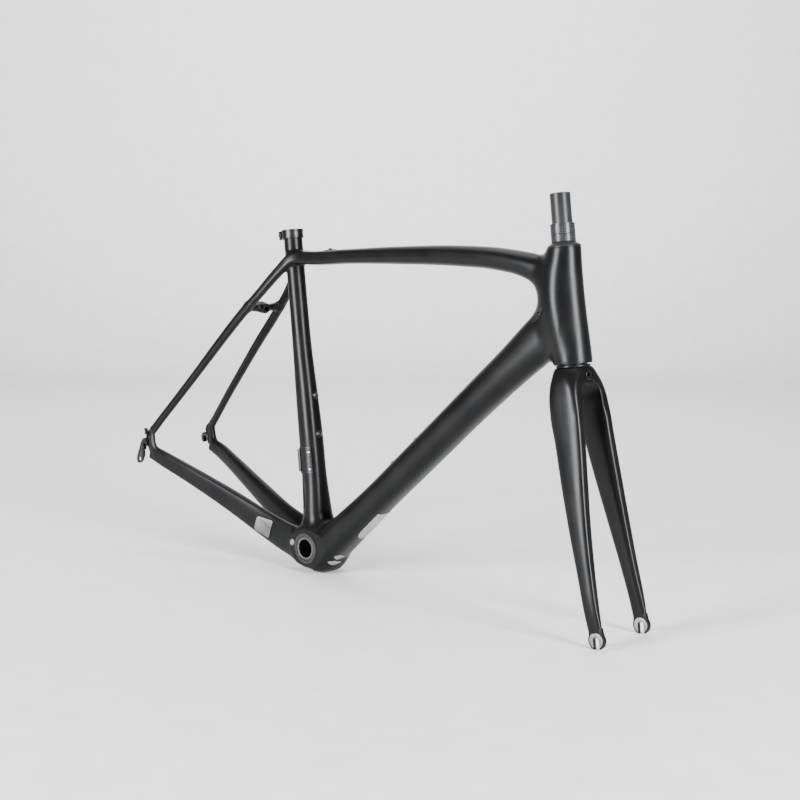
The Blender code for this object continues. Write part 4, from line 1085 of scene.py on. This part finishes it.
def build_guards():
    """Thin bright plates: one on the chainstay, and films under the down tube."""
    stay = TUBES["chainstay_right"]
    grid = patch_grid(stay, (0.722, 0.818), (-198.0, -142.0), rounded_end, 30, 24, (-218.0, -149.0))
    item = shell_patch("chainstay_guard_sheet", grid, (0.55, 1.3), SILVER)
    place(item, "frame", "steel", "chainstay_guard_plate")
    grid = patch_grid(stay, (0.732, 0.814), (-192.6, -190.0), lambda u: 1.0 - 0.6 * u * u, 34, 4,
                      (-181.6, -179.0), -5.5)
    place(shell_patch("chainstay_guard_groove", grid, (0.7, 1.37), BLACK_STEEL), "frame", "steel")
    down = TUBES["down"]
    grid = patch_grid(down, (0.138, 0.245), (-113.0, -60.0), cut_corner, 44, 26)
    item = shell_patch("down_tube_guard_sheet", grid, (0.35, 0.8), FILM)
    place(item, "frame", "steel", "down_tube_guard_film")
    strips = (("front", (0.05, 0.068), (-119.0, -88.0)), ("rear", (0.031, 0.045), (-127.0, -88.0)))
    for label, places, turns in strips:
        grid = patch_grid(down, places, turns, leaf, 26, 12)
        place(shell_patch("guard_strip_" + label, grid, (0.3, 0.7), FILM), "frame", "steel")


def build_small_fittings():
    for name, tube, along, turn, size in (("top_tube_cable_stop", "top", 0.15, 90.0, 1.0),
                                          ("down_tube_cable_port", "down", 0.925, 148.0, 1.0)):
        spot, out = on_skin(TUBES[tube].section_point(along, math.radians(turn), 1.0))
        cone = ((1.3, -0.5), (4.4, -0.5), (4.6, 0.4), (3.4, 1.2), (2.6, 3.2), (1.9, 3.8), (1.3, 3.8))
        place(turned(name + "_body", cone, spot, out, ALLOY, 0.35, 48), "frame", "black_alloy", name)
        cap = ((0.0, 1.2), (1.5, 1.2), (1.5, 2.6), (0.0, 2.8))
        item = turned(name + "_plug", cap, spot, out, PLASTIC, 0.3, 32, closed=False)
        place(item, "frame", "black_plastic")
    grid = patch_grid(TUBES["top"], (0.128, 0.172), (72.0, 108.0), leaf, 24, 14)
    place(shell_patch("top_tube_stop_base", grid, (0.3, 1.3), ALLOY), "frame", "black_alloy")
    grid = patch_grid(TUBES["down"], (0.895, 0.955), (140.0, 157.0), leaf, 24, 12)
    place(shell_patch("down_tube_port_bed", grid, (0.25, 0.75), PLASTIC), "frame", "black_plastic")
    seat = np.array([-32.5, -34.0, 0.3])
    dome = ((0.0, -1.0), (5.5, -1.0), (5.5, 0.3), (4.9, 1.1), (3.6, 1.25), (3.2, 0.95), (0.0, 0.95))
    item = turned("port_plug_cap", dome, seat, -LEFT, SILVER, 0.3, 56, closed=False)
    place(item, "frame", "aluminium", "port_plug")
    guide = [(-14.0, -9.0), (-10.0, -12.0), (10.0, -12.0), (14.0, -9.0), (14.0, 9.0), (10.0, 12.0),
             (-10.0, 12.0), (-14.0, 9.0)]
    foot = -PLUMB * BB_HEIGHT + LEVEL * 4.0
    item = plate("cable_guide_shoe", soften(guide, 2.5), LEVEL, LEFT, PLUMB, (0.0, 3.4), foot, PLASTIC, 0.7)
    place(item, "frame", "black_plastic", "cable_guide")
    for word, side in (("right", -5.5), ("left", 5.5)):
        groove = [(-14.1, side - 1.1), (14.1, side - 1.1), (14.1, side + 1.1), (-14.1, side + 1.1)]
        item = plate("cable_guide_rib_" + word, groove, LEVEL, LEFT, PLUMB, (0.9, 3.6), foot, PLASTIC, 0.4)
        place(item, "frame", "black_plastic")


build_seat_clamp()
build_bottle_bolts()
build_front_derailleur_mount()
build_guards()
build_small_fittings()


# ---------------------------------------------------------------- build: bearings, headset, fork

def build_bottom_bracket():
    cup = ((25.2, -0.4), (25.2, 1.4), (21.3, 1.4), (21.3, -7.4), (17.6, -7.4), (17.6, -9.6), (23.2, -9.6),
           (23.2, -0.4))
    outer = ((19.2, -7.1), (21.0, -7.1), (21.0, 0.9), (19.6, 0.9), (19.2, 0.3))
    seal = ((17.65, 0.0), (17.65, 0.5), (18.4, 0.7), (19.25, 0.5), (19.25, 0.0))
    inner = ((15.05, -7.1), (17.4, -7.1), (17.4, 0.4), (16.9, 0.9), (15.05, 0.9))
    for word, hand in SIDES.items():
        out = LEFT * hand
        face = out * SHELL_LENGTH / 2
        race_body = "bb_%s_race" % word
        item = turned("bb_cup_shell_" + word, cup, face, out, CUP_LOOK, 0.55)
        place(item, "frame", "black_alloy", "bb_cup_" + word)
        item = turned("bb_bearing_outer_" + word, outer, face, out, BLACK_STEEL, 0.3)
        place(item, "frame", "steel", "bb_outer_race_" + word)
        place(turned("bb_seal_" + word, seal, face, out, RUBBER, 0.12), "frame", "black_plastic")
        item = turned("bb_bearing_inner_" + word, inner, face, out, RACE_LOOK, 0.35)
        place(item, race_body, "steel", "bb_inner_race_" + word)
        item = turned("bb_inner_land_" + word, band(16.7, 17.2, 0.6, 1.05), face, out, STEEL, 0.12)
        place(item, race_body, "steel")
        item = turned("bb_outer_land_" + word, band(20.4, 20.9, 0.6, 1.1), face, out, RACE_LOOK, 0.12)
        place(item, "frame", "steel")
        item = turned("bb_ball_cage_" + word, band(17.7, 18.9, -5.4, -0.6), face, out, PLASTIC, 0.3)
        place(item, "bb_%s_balls" % word, "black_plastic", "bb_ball_ring_" + word)
    sleeve = ((19.6, -23.6), (19.6, 23.6), (18.4, 23.6), (18.4, -23.6))
    item = turned("bb_sleeve", sleeve, np.zeros(3), LEFT, PLASTIC, 0.3)
    place(item, "frame", "black_plastic", "bb_dust_sleeve")


def on_steerer(name, profile, look, edge, slot, node, body="fork"):
    """A piece turned about the steering axis; heights start at the foot of the head tube."""
    place(turned(name, profile, HEAD_BOTTOM, STEER_UP, look, edge), body, slot, node)


def build_headset():
    bearings = (("upper", 152.2, 159.3, (16.2, 17.6, 17.9, 19.0, 19.3, 20.9)),
                ("lower", 0.9, 8.4, (20.0, 21.3, 21.6, 22.7, 23.0, 24.4)))
    # The races are black steel so that the thin gap between the crown and the head tube stays dark: painted
    # shade for that gap.
    for word, low, high, radii in bearings:
        start = "headset_" + word
        on_steerer(start + "_race_inner", band(radii[0], radii[1], low, high), BLACK_STEEL, 0.35, "steel",
                   start + "_inner_race")
        on_steerer(start + "_cage", band(radii[2], radii[3], low + 1.5, high - 1.5), PLASTIC, 0.35,
                   "black_plastic", start + "_ball_ring", start + "_balls")
        on_steerer(start + "_race_outer", band(radii[4], radii[5], low, high), BLACK_STEEL, 0.35, "steel",
                   start + "_outer_race", "frame")
    top = HEAD_LENGTH
    bore = 14.55
    wedge = ((15.9, top - 6.0), (15.9, top - 0.2), (17.6, top - 0.2), (17.6, top + 1.2), (bore, top + 1.2),
             (bore, top - 6.0))
    on_steerer("headset_wedge", wedge, ALLOY, 0.3, "black_alloy", "headset_compression_ring")
    cover = ((23.4, top + 0.45), (23.7, top + 1.2), (23.3, top + 2.6), (22.2, top + 3.8), (20.6, top + 4.8),
             (18.9, top + 5.6), (17.7, top + 6.6), (17.3, top + 8.0), (bore, top + 8.0), (bore, top + 1.5),
             (21.6, top + 1.5), (22.2, top + 0.45))
    on_steerer("headset_cone_cover", cover, PLASTIC, 0.7, "black_plastic", "headset_top_cover")
    low = top + 8.3
    for word, height in (("lower", 10.2), ("upper", 14.6)):
        on_steerer("spacer_" + word, band(bore, 17.1, low, low + height), SPACER_LOOK, 0.45, "carbon",
                   "steerer_spacer_" + word)
        low += height + 0.3
    race = ((23.6, 0.15), (24.3, 1.2), (23.6, 3.4), (19.7, 3.4), (19.7, 9.6), (17.8, 9.6), (17.8, 0.15))
    item = turned("crown_race_ring", race, CROWN_SEAT, STEER_UP, ALLOY, 0.5)
    place(item, "fork", "black_alloy", "headset_crown_race")


def build_fork_details():
    top = HEAD_GAP + HEAD_LENGTH + 75.4
    tube = ((17.4, -15.6), (17.4, 14.0), (16.2, 38.0), (14.3, 62.0), (14.3, top), (11.9, top), (11.9, 60.0),
            (13.6, 14.0), (13.6, -15.6))
    item = turned("steerer_tube", tube, CROWN_SEAT, STEER_UP, STEERER_LOOK, 0.5)
    place(item, "fork", "carbon", "fork_steerer")
    face = 22.6 + 0.13 * 10.9
    sleeve = ((3.0, face - 6.0), (4.1, face - 6.0), (4.1, face - 0.2), (5.6, face - 0.2), (5.6, face + 0.5),
              (5.0, face + 0.9), (3.4, face + 0.9), (3.0, face + 0.4))
    item = turned("crown_brake_eyelet", sleeve, BRAKE_HOLE, STEER_FORWARD, ALLOY, 0.25, 64)
    place(item, "fork", "black_alloy", "crown_brake_sleeve")
    for word, hand in SIDES.items():
        build_fork_tip(word, hand)


def tip_outline(radius, gap, neck=()):
    """A disc with a slot that opens down, and a neck above it where one is given."""
    mouth = math.degrees(math.acos(gap / radius))
    if neck:
        outline = arc(CENTRE, radius, -mouth, 28.0, 26) + list(neck)
        outline += arc(CENTRE, radius, 152.0, 180.0 + mouth, 14)
    else:
        outline = arc(CENTRE, radius, -mouth, 180.0 + mouth, 26)
    return outline + arc(CENTRE, gap, 180.0, 0.0, 20)


def build_fork_tip(word, hand):
    """A black body that carries the blade down to the axle, and a bright disc a little proud of it."""
    slot = 4.6
    neck = ((10.4, 9.0), (9.6, 13.0), (9.0, 17.5), (-11.4, 13.0))
    rim = tip_outline(13.0, slot, neck)
    # The black body's slot is narrower than the disc's, so the walls inside the slot are black: partly the
    # carbon of the body, partly painted shade for the shadow that falls in the slot.
    disc = tip_outline(10.9, slot + 0.3)
    layers = (("rim", rim, (0.2, 6.8), CARBON, 1.3, ("carbon",)),
              ("disc", disc, (0.0, 7.0), SILVER, 0.3, ("aluminium", "fork_tip_" + word)))
    for label, outline, layer, finish, bevel, tie in layers:
        depths = sorted((50.0 + depth) * hand for depth in layer)
        item = plate("fork_tip_%s_%s" % (word, label), outline, STEER_FORWARD, STEER_UP, LEFT, depths,
                     fork_point(TIP_HEIGHT, FORK_RAKE), finish, bevel)
        place(item, "fork", *tie)


build_bottom_bracket()
build_headset()
build_fork_details()

# ---------------------------------------------------------------- stage

VIEW_AZIMUTH = math.radians(43.263)
VIEW_ELEVATION = math.radians(6.4985)
VIEW_ROLL = math.radians(0.2416)


def build_stage():
    mesh = bpy.data.meshes.new("floor")
    depth = 3.2
    width = 9.0
    back = []
    for step in range(13):
        angle = math.pi / 2 * step / 12
        back.append((depth + 0.9 * math.sin(angle), 0.9 - 0.9 * math.cos(angle)))
    line = [(-6.0, 0.0)] + back + [(depth + 0.9, 5.0)]
    away = np.array([-math.sin(VIEW_AZIMUTH), math.cos(VIEW_AZIMUTH)])
    across = np.array([away[1], -away[0]])
    points = []
    for distance, height in line:
        for side in (-width, width):
            ground = away * distance + across * side
            points.append((ground[0], ground[1], height))
    faces = [(2 * k, 2 * k + 1, 2 * k + 3, 2 * k + 2) for k in range(len(line) - 1)]
    mesh.from_pydata(points, [], faces)
    mesh.shade_smooth()
    floor = bpy.data.objects.new("floor", mesh)
    bpy.context.scene.collection.objects.link(floor)
    floor_look = look("pale_floor", (0.66, 0.66, 0.66), (0.7, 0.7, 0.7), (0.5, 0.6), grain=0.2, wear=0.0)
    mesh.materials.append(floor_look)


def area_light(name, location, target, size, power, colour=(1.0, 1.0, 1.0)):
    data = bpy.data.lights.new(name, "AREA")
    data.shape = "RECTANGLE"
    data.size = size[0]
    data.size_y = size[1]
    data.energy = power
    data.color = colour
    item = bpy.data.objects.new(name, data)
    item.location = location
    item.rotation_euler = (Vector(target) - Vector(location)).to_track_quat("-Z", "Y").to_euler()
    bpy.context.scene.collection.objects.link(item)


def build_lights():
    aim = (0.05, 0.0, 0.35)
    area_light("right_box", (3.2, -0.3, 0.95), aim, (0.9, 1.9), 380.0, (0.96, 0.98, 1.0))
    area_light("left_box", (-0.45, -3.2, 0.95), aim, (1.1, 1.9), 420.0, (0.96, 0.98, 1.0))
    area_light("top_box", (0.0, 0.4, 3.2), aim, (3.0, 2.4), 60.0)
    area_light("wall_wash", (-1.0, 1.0, 3.0), (-2.6, 2.8, 1.0), (3.6, 1.0), 170.0)
    world = bpy.data.worlds.new("studio")
    world.use_nodes = True
    world.node_tree.nodes["Background"].inputs[0].default_value = (0.9, 0.94, 1.0, 1.0)
    world.node_tree.nodes["Background"].inputs[1].default_value = 0.1
    bpy.context.scene.world = world


def build_camera():
    data = bpy.data.cameras.new("camera")
    data.lens = 61.78
    data.sensor_width = 36.0
    camera = bpy.data.objects.new("camera", data)
    turn = Matrix.Rotation(VIEW_AZIMUTH, 4, "Z") @ Matrix.Rotation(math.pi / 2 - VIEW_ELEVATION, 4, "X")
    turn = turn @ Matrix.Rotation(VIEW_ROLL, 4, "Z")
    camera.matrix_world = Matrix.Translation((1.52857, -1.53982, 0.53999)) @ turn
    bpy.context.scene.collection.objects.link(camera)
    bpy.context.scene.camera = camera


build_stage()
build_lights()
build_camera()
